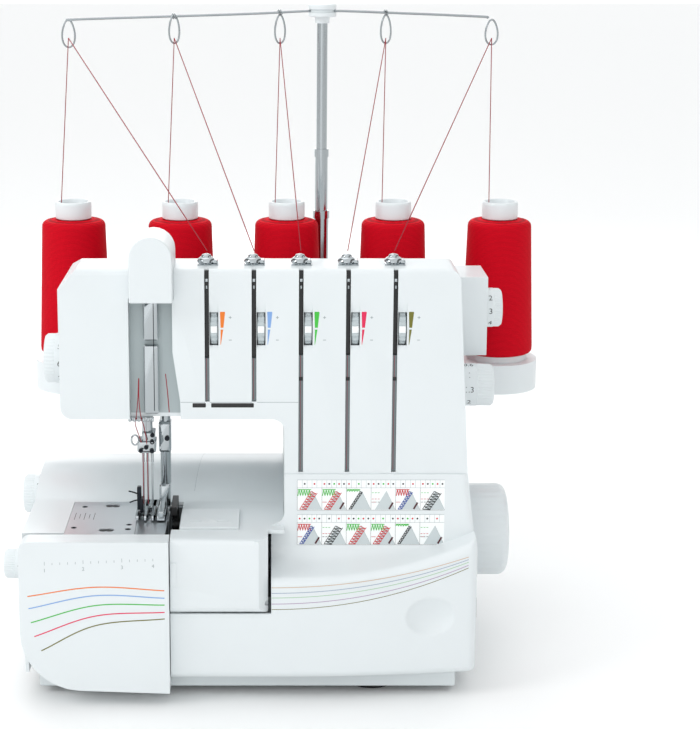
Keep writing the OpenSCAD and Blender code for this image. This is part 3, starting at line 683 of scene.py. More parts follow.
@dataclass
class FrontHousing:
    """The lower front: a flat panel for the chart above a bowed bulge whose ridge rises to the right.

    Across X the share t runs from 0 at the panel's left to 1 at its right. The ridge's height is
    ridge + rise * t^2.6, and the bulge's front draws back by bow * t^2.
    """

    left: float = -11.7 * MM
    column: float = -3.0 * MM
    ridge: float = 86.0 * MM
    rise: float = 22.5 * MM
    bow: float = 10.0 * MM
    panel_foot: float = 99.5 * MM
    panel_depth: tuple[float, float] = (-95.2 * MM, -93.1 * MM)
    seam: float = 148.0 * MM
    corner: float = 6.0 * MM
    skin: float = 2.2 * MM
    pull: tuple[float, float] = (93.0 * MM, 57.5 * MM)
    pull_half: tuple[float, float] = (16.3 * MM, 12.5 * MM)
    pull_depth: float = 4.5 * MM

    def share(self, x: Array | float) -> Array:
        """Gives t, clipped to 0 at the left and 1 at the right."""
        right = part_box("base_front_cover")[1][0]
        return np.clip((np.asarray(x, dtype=float) - self.left) / (right - self.left), 0.0, 1.0)

    def front(self, x: Array | float) -> Array:
        """Gives Y of the bulge's front."""
        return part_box("base_front_cover")[0][1] + self.bow * self.share(x) ** 2

    def ridge_at(self, x: Array | float) -> Array:
        """Gives the ridge's height."""
        return self.ridge + self.rise * self.share(x) ** 2.6

    def panel(self, height: Array | float) -> Array:
        """Gives Y of the chart's panel, which leans back a little."""
        return np.interp(height, [self.panel_foot, self.seam], self.panel_depth)

    def top_at(self, x: Array) -> Array:
        """Gives the skin's top: the bed's level, a quarter round up to the column, then the seam."""
        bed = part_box("bed_cover")[0][2] + 2.8 * MM
        wall = self.column
        radius = wall - self.left
        along = np.clip(x - self.left, 0, radius)
        return np.where(x < wall, bed + radius - np.sqrt(np.maximum(radius ** 2 - along ** 2, 0)),
                        self.seam - 0.2 * MM)

    def dent(self, points: Array) -> Array:
        """Gives how far the pull's dish sinks: depth * (1 - q)^0.7, q the squared share of its ellipse."""
        q = ((points[..., 0] - self.pull[0]) / self.pull_half[0]) ** 2
        q = q + ((points[..., 2] - self.pull[1]) / self.pull_half[1]) ** 2
        return self.pull_depth * np.clip(1 - q, 0, 1) ** 0.7

    def outline(self, x: float, top: float, rounding: float) -> Array:
        """Gives the closed outline in (y, z) at one place along X: foot corner, front, ridge, panel, inside.

        Args:
            x: place along X.
            top: the skin's top edge.
            rounding: how far the front draws back there, at the housing's end.

        Returns:
            n by 2 array; n is the same at every x.
        """
        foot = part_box("base_front_cover")[0][2]
        front, ridge = float(self.front(x)) + rounding, float(self.ridge_at(x))
        lower = arc((front + self.corner, foot + self.corner), self.corner, 270, 180, 8)
        if top < self.ridge:
            rise = np.stack([np.full(24, front), np.linspace(foot + self.corner, top, 25)[1:]], 1)
            outer = np.concatenate([lower, rise])
        else:
            rise = np.stack([np.full(48, front), np.linspace(foot + self.corner, ridge - 6 * MM, 49)[1:]], 1)
            crest = arc((front + 6 * MM, ridge - 6 * MM), 6 * MM, 180, 100, 8)[1:]
            panel_foot = max(self.panel_foot, ridge + 0.8 * MM)
            reach = self.panel(panel_foot)
            start, end = crest[-1], np.array([float(reach), panel_foot])
            lift = end[1] - start[1]
            knee = [start + [6 * MM, 0.10 * lift], np.array([end[0] - 0.5 * MM, start[1] + 0.3 * lift])]
            t = np.linspace(0, 1, 13)[1:, None]
            slope = ((1 - t) ** 3 * start + 3 * (1 - t) ** 2 * t * knee[0]
                     + 3 * (1 - t) * t ** 2 * knee[1] + t ** 3 * end)
            heights = np.linspace(panel_foot, top, 7)[1:]
            flat = np.stack([np.asarray(self.panel(heights)) + rounding * 0.5, heights], 1)
            outer = np.concatenate([lower, rise, crest, slope, flat])
        inner = outer[::-1].copy()
        inner[:, 0] += self.skin
        inner[:, 1] = np.clip(inner[:, 1], foot + self.skin, top - 0.01 * MM)
        return np.concatenate([outer, inner])

    def skin_between(self, name: str, start: float, end: float, top: float, ends_round: bool) -> None:
        """Lofts the outline along X from start to end, up to top, or to the column's fillet and the seam."""
        x = np.linspace(start, end, 60)
        rounding = np.zeros(60)
        tops = np.full(60, top)
        if ends_round:
            fillet = self.left + (self.column - self.left) * np.sin(np.radians(np.linspace(0, 89, 12)))
            x = np.concatenate([fillet, np.linspace(self.column, end - self.corner, 110),
                                end - self.corner + self.corner * np.sin(np.radians(np.linspace(10, 90, 9)))])
            tops = self.top_at(x)
            away = np.clip((x - (end - self.corner)) / self.corner, 0, 1)
            rounding = self.corner * (1 - np.sqrt(1 - away ** 2))
        rings = [self.outline(float(a), float(c), float(b)) for a, b, c in zip(x, rounding, tops)]
        flat = np.stack(rings)
        lean = np.clip((flat[..., 1] - 100 * MM) / (49 * MM), 0, 1) * 6 * MM
        across = x[:, None] - lean * np.clip((x[:, None] - 90 * MM) / (34 * MM), 0,
                                             1) * (1.0 if ends_round else 0.0)
        points = np.stack([across, flat[..., 0], flat[..., 1]], axis=-1)
        points[..., 1] += self.dent(points)
        count = points.shape[1]
        half = count // 2
        strips = [tuple(f) for f in grid_faces(len(x), count, False, True)]
        side = np.arange(half - 1)
        for base in (0, (len(x) - 1) * count):
            strips += [tuple(base + k for k in (j, j + 1, count - 2 - j, count - 1 - j)) for j in side]
        solid = Solid().add(points, strips)
        solid.build(name, WHITE_ABS, ROOT)

    def inner_moulding(self, at: Array) -> Array:
        """Draws the plain shell in behind the finer skin."""
        left = at[:, 0] < self.left - 0.1 * MM
        drawn = at.copy()
        drawn[:, 1] = np.where(left, np.maximum(at[:, 1], at[:, 1].min() + 1.2 * MM),
                               np.maximum(at[:, 1], self.panel_depth[1] + 1.2 * MM))
        return drawn

    def build(self) -> None:
        """Builds the skin in two stretches, under the looper cover and to its right, and the shell behind."""
        low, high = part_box("base_front_cover")
        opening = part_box("looper_cover")[0][2] - 0.6 * MM
        softened("base_front_cover", WHITE_ABS, 0.8 * MM, reshape=self.inner_moulding)
        self.skin_between("lower_front_skin", low[0], self.left, opening, False)
        self.skin_between("front_housing_skin", self.left, high[0], self.seam - 0.2 * MM, True)


@dataclass
class ArmDetails:
    """The arm's lower seam, black plates of painted shade in its two recesses, and a grey sheet of painted
    shade in the recess beside the rail.
    """

    seam: float = 196.6 * MM
    recess_shade_spans: tuple[tuple[float, float], ...] = ((-63.3 * MM, -54.4 * MM), (-51.1 * MM, -23.0 * MM))

    def build(self) -> None:
        """Builds the seam line and the painted shade in the two recesses and in the recess beside the rail.
        """
        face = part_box("head_front_cover")[0][1]
        line = Solid()
        for start, end in ((-71 * MM, -54.9 * MM), (-51.9 * MM, -24.3 * MM), (-21.2 * MM, 6.0 * MM)):
            line.block((start, face - 0.05 * MM, self.seam - 0.18 * MM),
                       (end, face + 0.2 * MM, self.seam + 0.18 * MM), 0.05 * MM)
        line.build("arm_seam", INK_GREY, ROOT, smooth=False)
        # Painted shade: black plates flush with the face stand for the shade inside the arm's two recesses.
        dark = Solid()
        for start, end in self.recess_shade_spans:
            dark.block((start, face - 0.08 * MM, self.seam - 3.6 * MM),
                       (end, face + 0.4 * MM, self.seam - 0.5 * MM), 0.5 * MM)
        dark.build("arm_dark_recesses", BLACK_NYLON, ROOT)
        # Painted shade: a grey sheet at the back of the recess beside the rail stands for its shade.
        back = face + 7.9 * MM
        rail_recess_shade = Solid()
        outline = np.array([(-104.3, 187.6), (-71.4, 187.6), (-71.6, 197), (-76.2, 230), (-76.2, 264.5),
                            (-104.3, 264.5)]) * MM
        rail_recess_shade.prism(outline, (0, back, 0), (1, 0, 0), (0, 0, 1), 0.3 * MM)
        rail_recess_shade.build("rail_recess_lining", RAIL_RECESS_SHADE_ABS, ROOT, smooth=False)


@dataclass
class Handwheel:
    """The handwheel: a shallow domed cap with a raised rim and finger flutes round it."""

    flutes: int = 36
    flute: float = 0.5 * MM
    dome: float = 3.0 * MM
    round_edge: float = 6.0 * MM

    def build(self) -> None:
        """Turns the wheel: a fluted rim, rounded to a domed face, hollow behind round a hub."""
        low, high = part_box("handwheel")
        radius = (high[2] - low[2]) / 2
        width = high[0] - low[0]
        face = arc((width - self.round_edge - self.dome / 3, radius - self.round_edge), self.round_edge, 90,
                   0, 8)
        inner = radius - 4 * MM
        rim = [(inner, 0.0), (radius - 1.2 * MM, 0.0), (radius - 0.3 * MM, 0.9 * MM), (radius, 2 * MM)]
        rim += [(r, h) for h, r in face]
        crown = radius - self.round_edge - 2 * MM
        rim += [(crown, width - 1.6 * MM), (crown * 0.72, width - 0.6 * MM), (crown * 0.4, width),
                (0.0, width)]
        back = [(0.0, 4 * MM), (5 * MM, 4 * MM), (5.2 * MM, 0.2 * MM), (12 * MM, 0.2 * MM),
                (12 * MM, 25 * MM),
                (inner - 1 * MM, 25 * MM), (inner, 24 * MM), (inner, 0.0)]
        profile = np.array(back + rim[1:])
        steps = self.flutes * 6
        solid = Solid().turned(profile, (low[0], 0.0, (low[2] + high[2]) / 2), (1, 0, 0), steps)
        points = solid.points[0].reshape(len(profile), steps, 3)
        middle = np.array([0.0, (low[1] + high[1]) / 2, (low[2] + high[2]) / 2])
        away = points - middle
        away[..., 0] = 0.0
        reach = np.linalg.norm(away, axis=-1, keepdims=True)
        turn = np.arange(steps) / 6.0 * 2.0 * math.pi
        depth = self.flute * (0.5 - 0.5 * np.cos(turn))[None, :, None]
        outer = (reach > radius - 2.5 * MM) & (points[..., :1] > low[0] + 3 * MM)
        points -= np.where(outer, away / np.maximum(reach, 1e-9) * depth, 0.0)
        solid.points[0] = points.reshape(-1, 3)
        solid.build("handwheel_moulding", WHITE_ABS, "drive", "handwheel")


@dataclass
class Dial:
    """A round setting dial that turns about X: milled edge, chamfered face, numbers round it."""

    node: str
    marks: tuple[str, ...]
    ridges: int = 40
    side: int = 1
    chamfer: float = 1.6 * MM
    milling: float = 0.5 * MM
    figure_height: float = 4.2 * MM

    def build(self, grip_from: float, grip_to: float) -> None:
        """Turns the dial between two distances along X and prints its numbers on its rim.

        Args:
            grip_from: X where the grip starts, next to the housing.
            grip_to: X of its outer face.
        """
        low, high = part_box(self.node)
        radius = (high[2] - low[2]) / 2
        centre = np.array([grip_from, (low[1] + high[1]) / 2, (low[2] + high[2]) / 2])
        width = abs(grip_to - grip_from)
        stub = abs((low[0] if self.side > 0 else high[0]) - grip_from)
        profile = np.array([(0.0, -stub), (3 * MM, -stub), (3 * MM, 0.0), (radius - 0.6 * MM, 0.0),
                            (radius, 0.6 * MM),
                            (radius, width * 0.5), (radius - 0.3 * MM, width * 0.52),
                            (radius - 0.3 * MM, width - self.chamfer), (radius - self.chamfer, width),
                            (radius - 3.2 * MM, width), (radius - 4 * MM, width - 0.8 * MM),
                            (0.0, width - 0.8 * MM)])
        steps = self.ridges * 4
        solid = Solid().turned(profile, centre, (self.side, 0, 0), steps)
        points = solid.points[0].reshape(len(profile), steps, 3)
        away = points - centre
        away[..., 0] = 0.0
        reach = np.linalg.norm(away, axis=-1, keepdims=True)
        out = np.abs(points[..., :1] - grip_from)
        wave = (0.5 - 0.5 * np.cos(np.arange(steps) / 4.0 * 2.0 * math.pi))[None, :, None]
        milled = (reach > radius - 0.5 * MM) & (out > width * 0.51)
        points -= np.where(milled, away / np.maximum(reach, 1e-9) * self.milling * wave, 0.0)
        solid.points[0] = points.reshape(-1, 3)
        solid.build(f"{self.node}_moulding", WHITE_ABS, body_of(self.node), self.node)
        self.numbers(centre, radius, width)

    def numbers(self, centre: Array, radius: float, width: float) -> None:
        """Wraps the numbers round the plain half of the rim, each upright along X.

        Args:
            centre: the dial's centre where the grip starts.
            radius: the rim's radius.
            width: the grip's width.
        """
        middle = centre[0] + self.side * width * 0.27
        joined = Solid()
        for index, mark in enumerate(self.marks):
            places, faces = glyph(mark, min(self.figure_height, width * 0.42))
            turn = -(index - len(self.marks) // 2) * 360.0 / max(len(self.marks) + 3, 9)
            angle = np.radians(turn) + places[:, 1] / radius
            reach = radius + 0.05 * MM
            wrapped = np.stack([middle + places[:, 0],
                                centre[1] - reach * np.cos(angle), centre[2] + reach * np.sin(angle)], axis=1)
            joined.add(wrapped, faces)
        joined.build(f"{self.node}_numbers", INK_BLACK, body_of(self.node), smooth=False)


def glyph(mark: str, height: float) -> tuple[Array, list[tuple[int, ...]]]:
    """Gives a number's flat outline, filled, in its own (u, v) plane and centred on its middle.

    Args:
        mark: the characters.
        height: their height.

    Returns:
        n by 2 array of places, and the faces that fill it.
    """
    shape = bpy.data.curves.new("mark", "FONT")
    shape.body = mark
    shape.size = height * 1.35
    shape.resolution_u = 3
    holder = bpy.data.objects.new("mark", shape)
    bpy.context.scene.collection.objects.link(holder)
    mesh = bpy.data.meshes.new_from_object(holder.evaluated_get(bpy.context.evaluated_depsgraph_get()))
    bpy.data.objects.remove(holder)
    bpy.data.curves.remove(shape)
    places = np.empty(len(mesh.vertices) * 3)
    mesh.vertices.foreach_get("co", places)
    places = places.reshape(-1, 3)[:, :2]
    faces = [tuple(face.vertices) for face in mesh.polygons]
    bpy.data.meshes.remove(mesh)
    return places - (places.min(axis=0) + places.max(axis=0)) / 2, faces


@dataclass
class TensionPanel:
    """Five thread slots: channels lined with painted shade, scooped windows, thumbwheels, markers and guides
    on top.
    """

    pitch: float = 30.6 * MM
    first: float = -53.5 * MM
    ribs: int = 24
    window: tuple[float, float] = (234.6 * MM, 256.4 * MM)
    change: tuple[float, float] = (226.0 * MM, 228.0 * MM)
    wedge: tuple[float, float, float] = (257.2 * MM, 246.0 * MM, 235.4 * MM)

    def place(self, index: int) -> float:
        """Gives the middle of a thread slot along X: first + pitch * index."""
        return self.first + self.pitch * index

    def face(self) -> float:
        """Gives Y of the head's front face."""
        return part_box("head_front_cover")[0][1]

    def thumbwheel(self, index: int) -> None:
        """Turns one ribbed thumbwheel, with a white index bar let into its rim."""
        node = f"thumbwheel_{index + 1}"
        low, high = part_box(node)
        radius = (high[2] - low[2]) / 2
        centre = (low[0], (low[1] + high[1]) / 2, (low[2] + high[2]) / 2)
        wide = high[0] - low[0]
        profile = np.array([(2.1 * MM, 0), (radius - 0.8 * MM, 0), (radius, 0.7 * MM),
                            (radius, wide - 0.7 * MM),
                            (radius - 0.8 * MM, wide), (2.1 * MM, wide), (2.1 * MM, 0)])
        steps = self.ribs * 6
        solid = Solid().turned(profile, centre, (1, 0, 0), steps)
        points = solid.points[0].reshape(len(profile), steps, 3)
        away = points - np.array(centre)
        away[..., 0] = 0
        reach = np.linalg.norm(away, axis=-1, keepdims=True)
        wave = (0.5 - 0.5 * np.cos(np.arange(steps) / 6 * 2 * math.pi))[None, :, None] ** 2
        points -= np.where(reach > radius * 0.8, away / np.maximum(reach, 1e-9) * 0.7 * MM * wave, 0.0)
        solid.points[0] = points.reshape(-1, 3)
        solid.build(f"{node}_moulding", SATIN_ABS, body_of(node), node)
        bar = Solid()
        bar.block((low[0] + 0.3 * MM, centre[1] - radius - 0.1 * MM, centre[2] - 2.2 * MM),
                  (high[0] - 0.3 * MM, centre[1] - radius + 1.2 * MM, centre[2] + 2.2 * MM))
        bar.build(f"{node}_index", INK_WHITE, body_of(node))

    def slot_lining(self, index: int) -> None:
        """Lines one slot with painted shade, black in its upper part and dark grey in its lower part, and its
        red thread down the middle.
        """
        x = self.place(index)
        face = self.face()
        long_slot = index > 1
        foot = (149.5 if long_slot else 197.3) * MM
        change = self.change[1 if long_slot else 0]
        # Painted shade: a black block deep in the slot, and a strip beside the window, for the shade inside
        # them.
        throat_shade = Solid().block((x - 1.45 * MM, face + 2.4 * MM, change),
                               (x + 1.45 * MM, face + 3.6 * MM, 284 * MM))
        throat_shade.block((x + 1.4 * MM, face + 1.2 * MM, self.window[0]),
                     (x + 2.1 * MM, face + 3.8 * MM, self.window[1]))
        throat_shade.build(f"slot_{index + 1}_throat", BLACK_NYLON, ROOT, smooth=False)
        # Painted shade: a dark grey plate for the shaded floor of the slot's lower part.
        channel = Solid().block((x - 1.46 * MM, face + 0.9 * MM, foot),
                                (x + 1.46 * MM, face + 2.6 * MM, change))
        channel.build(f"slot_{index + 1}_channel", SLOT_SHADE_ABS, ROOT, smooth=False)
        if long_slot:
            clip = Solid().block((x - 1.2 * MM, face + 0.5 * MM, 211 * MM),
                                 (x + 1.2 * MM, face + 1.4 * MM, 213.5 * MM))
            clip.build(f"slot_{index + 1}_clip", BLACK_NYLON, ROOT)
        path = np.stack([np.full(20, x - 0.3 * MM), np.full(20, face + 0.7 * MM),
                         np.linspace(foot + 1 * MM, change, 20)], 1)
        Solid().tube(path, 0.14 * MM, 6).build(f"slot_{index + 1}_thread", SHADED_RED_THREAD, ROOT)
        bits = Solid()
        for height, wide in ((276.5, 1.9), (272.0, 1.2)):
            bits.block((x - wide / 2 * MM, face + 1.2 * MM, height * MM),
                       (x + wide / 2 * MM, face + 2.6 * MM, (height + 2.2) * MM))
        bits.build(f"slot_{index + 1}_disc_edges", NICKEL, ROOT)

    def marker(self, index: int) -> None:
        """Prints one channel's wedge, broad at the plus end and pointed at the minus end."""
        x = self.place(index) + 8.6 * MM
        face = self.face()
        top, split, foot = self.wedge
        upper = np.array([(x + 0.35 * MM, split + 0.6 * MM), (x + 2.2 * MM, split + 0.6 * MM),
                          (x + 3.3 * MM, top - 0.5 * MM),
                          (x + 3.1 * MM, top), (x + 0.2 * MM, top), (x, top - 0.5 * MM)])
        lower = np.array([(x + 0.2 * MM, foot), (x + 0.5 * MM, foot), (x + 2.0 * MM, split - 0.6 * MM),
                          (x + 0.4 * MM, split - 0.6 * MM)])
        wedge = Solid()
        for outline in (upper, lower):
            wedge.prism(outline, (0, face + 0.02 * MM, 0), (1, 0, 0), (0, 0, 1), 0.08 * MM)
        wedge.build(f"marker_{index + 1}_wedge", CHANNELS[index], ROOT, smooth=False)
        signs = Solid()
        centre, half, thick = x + 6.6 * MM, 0.95 * MM, 0.22 * MM
        for height in (split + 7.4 * MM, split - 7.6 * MM):
            signs.block((centre - half, face - 0.06 * MM, height - thick),
                        (centre + half, face + 0.1 * MM, height + thick))
        signs.block((centre - thick, face - 0.06 * MM, split + 7.4 * MM - half),
                    (centre + thick, face + 0.1 * MM, split + 7.4 * MM + half))
        signs.build(f"marker_{index + 1}_signs", INK_GREY, ROOT, smooth=False)

    def tension_discs(self) -> None:
        """Turns the polished discs, springs and studs of the five tension units."""
        low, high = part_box("tension_units")
        middle_y, middle_z = (low[1] + high[1]) / 2, (low[2] + high[2]) / 2
        solid = Solid()
        for index in range(5):
            x = self.place(index)
            solid.turned(np.array([(0, -8.5), (2, -8.5), (2, 8.0), (0, 8.0)]) * MM, (x, middle_y, middle_z),
                         (1, 0, 0), 24)
            for side in (-1, 1):
                disc = np.array([(2.0, 0.3), (7.0, 0.3), (8.6, 1.3), (9.0, 1.3), (9.0, 1.0), (7.2, 0.0),
                                 (2.0, 0.0)]) * MM
                solid.turned(disc, (x + side * 0.2 * MM, middle_y, middle_z), (side, 0, 0), 48)
            turn = np.linspace(0, 2 * math.pi * 4, 97)
            coil = np.stack([x - 1.8 * MM - turn / (2 * math.pi) * 0.95 * MM,
                             middle_y + 4 * MM * np.cos(turn),
                             middle_z + 4 * MM * np.sin(turn)], axis=1)
            solid.tube(coil, 0.35 * MM, 6)
        solid.build("tension_discs_and_springs", NICKEL, ROOT, "tension_units")

    def top_guides(self) -> None:
        """Presses the head's five plated guides: a foot plate, a domed button and a clip beside it."""
        low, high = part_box("pretension_guides")
        top = low[2]
        middle_y = (low[1] + high[1]) / 2
        dome = np.array([(0.0, 0.8), (4.6, 0.8), (4.6, 1.6), (5.6, 1.7), (6.1, 2.2), (6.0, 3.0), (5.2, 4.2),
                         (3.9, 5.2),
                         (3.4, 5.3), (3.3, 6.0), (2.6, 6.8), (1.2, 7.3), (0.0, 7.4)]) * MM
        for index in range(5):
            x = self.place(index)
            solid = Solid()
            solid.prism(oblong(13.4 * MM, 10 * MM, 1.5 * MM), (x + 0.4 * MM, middle_y, top), (1, 0, 0),
                        (0, 1, 0),
                        0.9 * MM, 0.25 * MM)
            solid.turned(dome, (x - 0.6 * MM, middle_y, top), (0, 0, 1), 40)
            solid.block((x + 3.2 * MM, middle_y - 4.4 * MM, top + 0.9 * MM),
                        (x + 7.0 * MM, middle_y + 3.6 * MM, top + 3.6 * MM), 0.9 * MM)
            solid.block((x - 5.4 * MM, middle_y - 4.6 * MM, top + 0.9 * MM),
                        (x + 3.0 * MM, middle_y - 3.2 * MM, top + 3.0 * MM), 0.5 * MM)
            names = ("pretension_guides",) if index == 0 else ()
            solid.build(f"top_guide_{index + 1}", NICKEL, ROOT, *names)
            rivet = np.array([(0, 0), (0.9, 0), (0.9, 0.3), (0.5, 0.5), (0, 0.5)]) * MM
            Solid().turned(rivet, (x - 0.8 * MM, middle_y - 4.6 * MM, top + 2.0 * MM), (0, -1, 0), 20).build(
                f"top_guide_{index + 1}_rivet", SPRING_STEEL, ROOT)

    def build(self) -> None:
        """Builds all five channels."""
        self.tension_discs()
        self.top_guides()
        for index in range(5):
            self.thumbwheel(index)
            self.slot_lining(index)
            self.marker(index)


@dataclass
class ThreadStand:
    """The tray, mast, wire with its eyes, five cones and the threads that lead from them."""

    eye_first: float = -163.0 * MM
    eye_pitch: float = 79.0 * MM
    wire: float = 0.95 * MM
    thread: float = 0.35 * MM
    turns: int = 96

    def eye(self, index: int) -> float:
        """Gives the middle of a wire eye along X."""
        return self.eye_first + self.eye_pitch * index

    def cone_places(self) -> list[tuple[float, float, float, float]]:
        """Gives each cone's X, Y, foot and top, spaced evenly across the windings' box."""
        low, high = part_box("cone_windings")
        radius = (high[1] - low[1]) / 2
        spots = np.linspace(low[0] + radius, high[0] - radius, 5)
        return [(float(x), float((low[1] + high[1]) / 2), float(low[2]), float(high[2])) for x in spots]

    def cones(self) -> None:
        """Turns the windings, with rows of thread standing out, and the white cone shells within."""
        low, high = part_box("cone_windings")
        radius = (high[1] - low[1]) / 2
        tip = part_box("cone_cores")[1][2]
        for index, (x, y, foot, top) in enumerate(self.cone_places()):
            height = top - foot
            side_h = np.linspace(0.05, 0.945, self.turns)
            side_r = radius - 3.4 * MM * side_h - 0.10 * MM * (np.arange(self.turns) % 2)
            shoulder = arc((radius - 7.6 * MM, height * 0.945), 4.3 * MM, 0, 90, 10)
            foot_round = arc((radius - 3.2 * MM, 3 * MM), 3 * MM, -90, -20, 6)
            profile = np.concatenate([[(0.0, 0.2 * MM)], foot_round, np.stack([side_r, side_h * height], 1),
                                      shoulder[1:], [(12.2 * MM, height - 0.2 * MM)],
                                      [(12.0 * MM, height - 2 * MM)],
                                      [(0.0, height - 2 * MM)]])
            names = ("cone_windings",) if index == 0 else ()
            Solid().turned(profile, (x, y, foot), (0, 0, 1), 96).build(
                f"winding_{index + 1}", RED_WINDING, ROOT, *names)
            rim = tip - foot
            cap = np.array([(0.0, rim - 9 * MM), (9.4 * MM, rim - 9 * MM), (10.8 * MM, rim - 1.0 * MM),
                            (11.2 * MM, rim - 0.2 * MM), (12.0 * MM, rim), (12.9 * MM, rim - 0.3 * MM),
                            (13.4 * MM, rim - 1.2 * MM), (13.5 * MM, rim - 3 * MM),
                            (13.45 * MM, rim - 11 * MM),
                            (13.3 * MM, rim - 12.5 * MM), (12.3 * MM, rim - 13.2 * MM),
                            (0.0, rim - 13.2 * MM)])
            names = ("cone_cores",) if index == 0 else ()
            Solid().turned(cap, (x, y, foot), (0, 0, 1), 64).build(f"cone_shell_{index + 1}", WHITE_ABS, ROOT,
                                                                   *names)

    def wire_and_eyes(self) -> None:
        """Bends the long guide wire, with a closed teardrop eye at each end and three between."""
        low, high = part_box("thread_guide_bar")
        hub_low, hub_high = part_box("guide_hub")
        hub_x = (hub_low[0] + hub_high[0]) / 2
        y = (low[1] + high[1]) / 2
        level = hub_high[2] - 5.2 * MM
        solid = Solid()
        left, right = self.eye(0), self.eye(4)
        path = curve_through([(left + 3 * MM, y, level - 7 * MM), (left + 9 * MM, y, level - 6.2 * MM),
                              (hub_x - 60 * MM, y, level - 2.4 * MM), (hub_x, y, level),
                              (hub_x + 60 * MM, y, level - 1.8 * MM), (right - 9 * MM, y, level - 4.2 * MM),
                              (right - 3 * MM, y, level - 5 * MM)], 8)
        solid.tube(path, self.wire, 12)
        for index in range(5):
            x = self.eye(index)
            end = index in (0, 4)
            half = (5.6 if end else 4.5) * MM
            base = level - (27 if index == 0 else 25 if index == 4 else 24) * MM
            head = level - (6.5 if end else 3.0) * MM
            turn = np.linspace(0, 2 * math.pi, 48, endpoint=False)
            lift = (base + head) / 2 - np.cos(turn) * (head - base) / 2
            across = np.sin(turn) * half * (1.0 - 0.35 * (1 - np.cos(turn)) / 2)
            loop = np.stack([x + across, np.full(48, y) + 0.7 * MM * np.sin(turn), lift], 1)
            solid.tube(loop, self.wire * 0.72, 10, closed=True)
            if not end:
                twist = np.linspace(0, 2 * math.pi * 2, 33)
                knot = np.stack([x + twist / 12.6 * 3 * MM - 1.5 * MM, y + 1.7 * MM * np.cos(twist),
                                 np.interp(x, path[:, 0], path[:, 2]) + 1.7 * MM * np.sin(twist)], 1)
                solid.tube(knot, self.wire * 0.6, 8)
        solid.build("guide_wire_with_eyes", DRAWN_WIRE, "mast_top", "thread_guide_bar")

    def hub(self) -> None:
        """Turns the white hub: two flanges with a waist, on a short neck."""
        low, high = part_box("guide_hub")
        centre = ((low[0] + high[0]) / 2, (low[1] + high[1]) / 2, low[2])
        radius = (high[0] - low[0]) / 2
        tall = high[2] - low[2]
        profile = np.array([(0, 0), (5.2 * MM, 0), (5.5 * MM, 0.6 * MM), (5.5 * MM, 4.4 * MM),
                            (radius - 0.6 * MM, 4.6 * MM),
                            (radius, 5.2 * MM), (radius, 7.4 * MM), (radius - 0.6 * MM, 8 * MM),
                            (8.6 * MM, 8.2 * MM),
                            (8.6 * MM, 9.9 * MM), (radius - 0.6 * MM, 10.1 * MM), (radius, 10.7 * MM),
                            (radius, tall - 0.9 * MM), (radius - 0.9 * MM, tall), (0, tall)])
        Solid().turned(profile, centre, (0, 0, 1), 64).build("hub_moulding", WHITE_ABS, "mast_top",
                                                             "guide_hub")

    def threads(self) -> None:
        """Leads a taut thread from each cone up through its eye and down to its guide on the head."""
        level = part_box("threads")[1][2]
        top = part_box("pretension_guides")[1][2]
        tension = TensionPanel()
        y = (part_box("thread_guide_bar")[0][1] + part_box("thread_guide_bar")[1][1]) / 2
        solid = Solid()
        for index, (x, cone_y, _, cone_top) in enumerate(self.cone_places()):
            start = (x - 9 * MM, cone_y - 6 * MM, cone_top + 1.5 * MM)
            over = (self.eye(index), y - 1.5 * MM, level - 0.4 * MM)
            end = (tension.place(index), -74 * MM, top + 0.6 * MM)
            way = np.linspace(0, 1, 40)[:, None]
            rise = np.asarray(start) * (1 - way) + np.asarray(over) * way
            fall = np.asarray(over) * (1 - way) + np.asarray(end) * way
            solid.tube(rise, self.thread, 6)
            solid.tube(fall, self.thread, 6)
        made = solid.build("taut_threads", SHADED_RED_THREAD, ROOT, "threads")
        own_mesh(made)

    def build(self) -> None:
        """Builds the whole stand."""
        self.cones()
        self.wire_and_eyes()
        self.hub()
        self.threads()


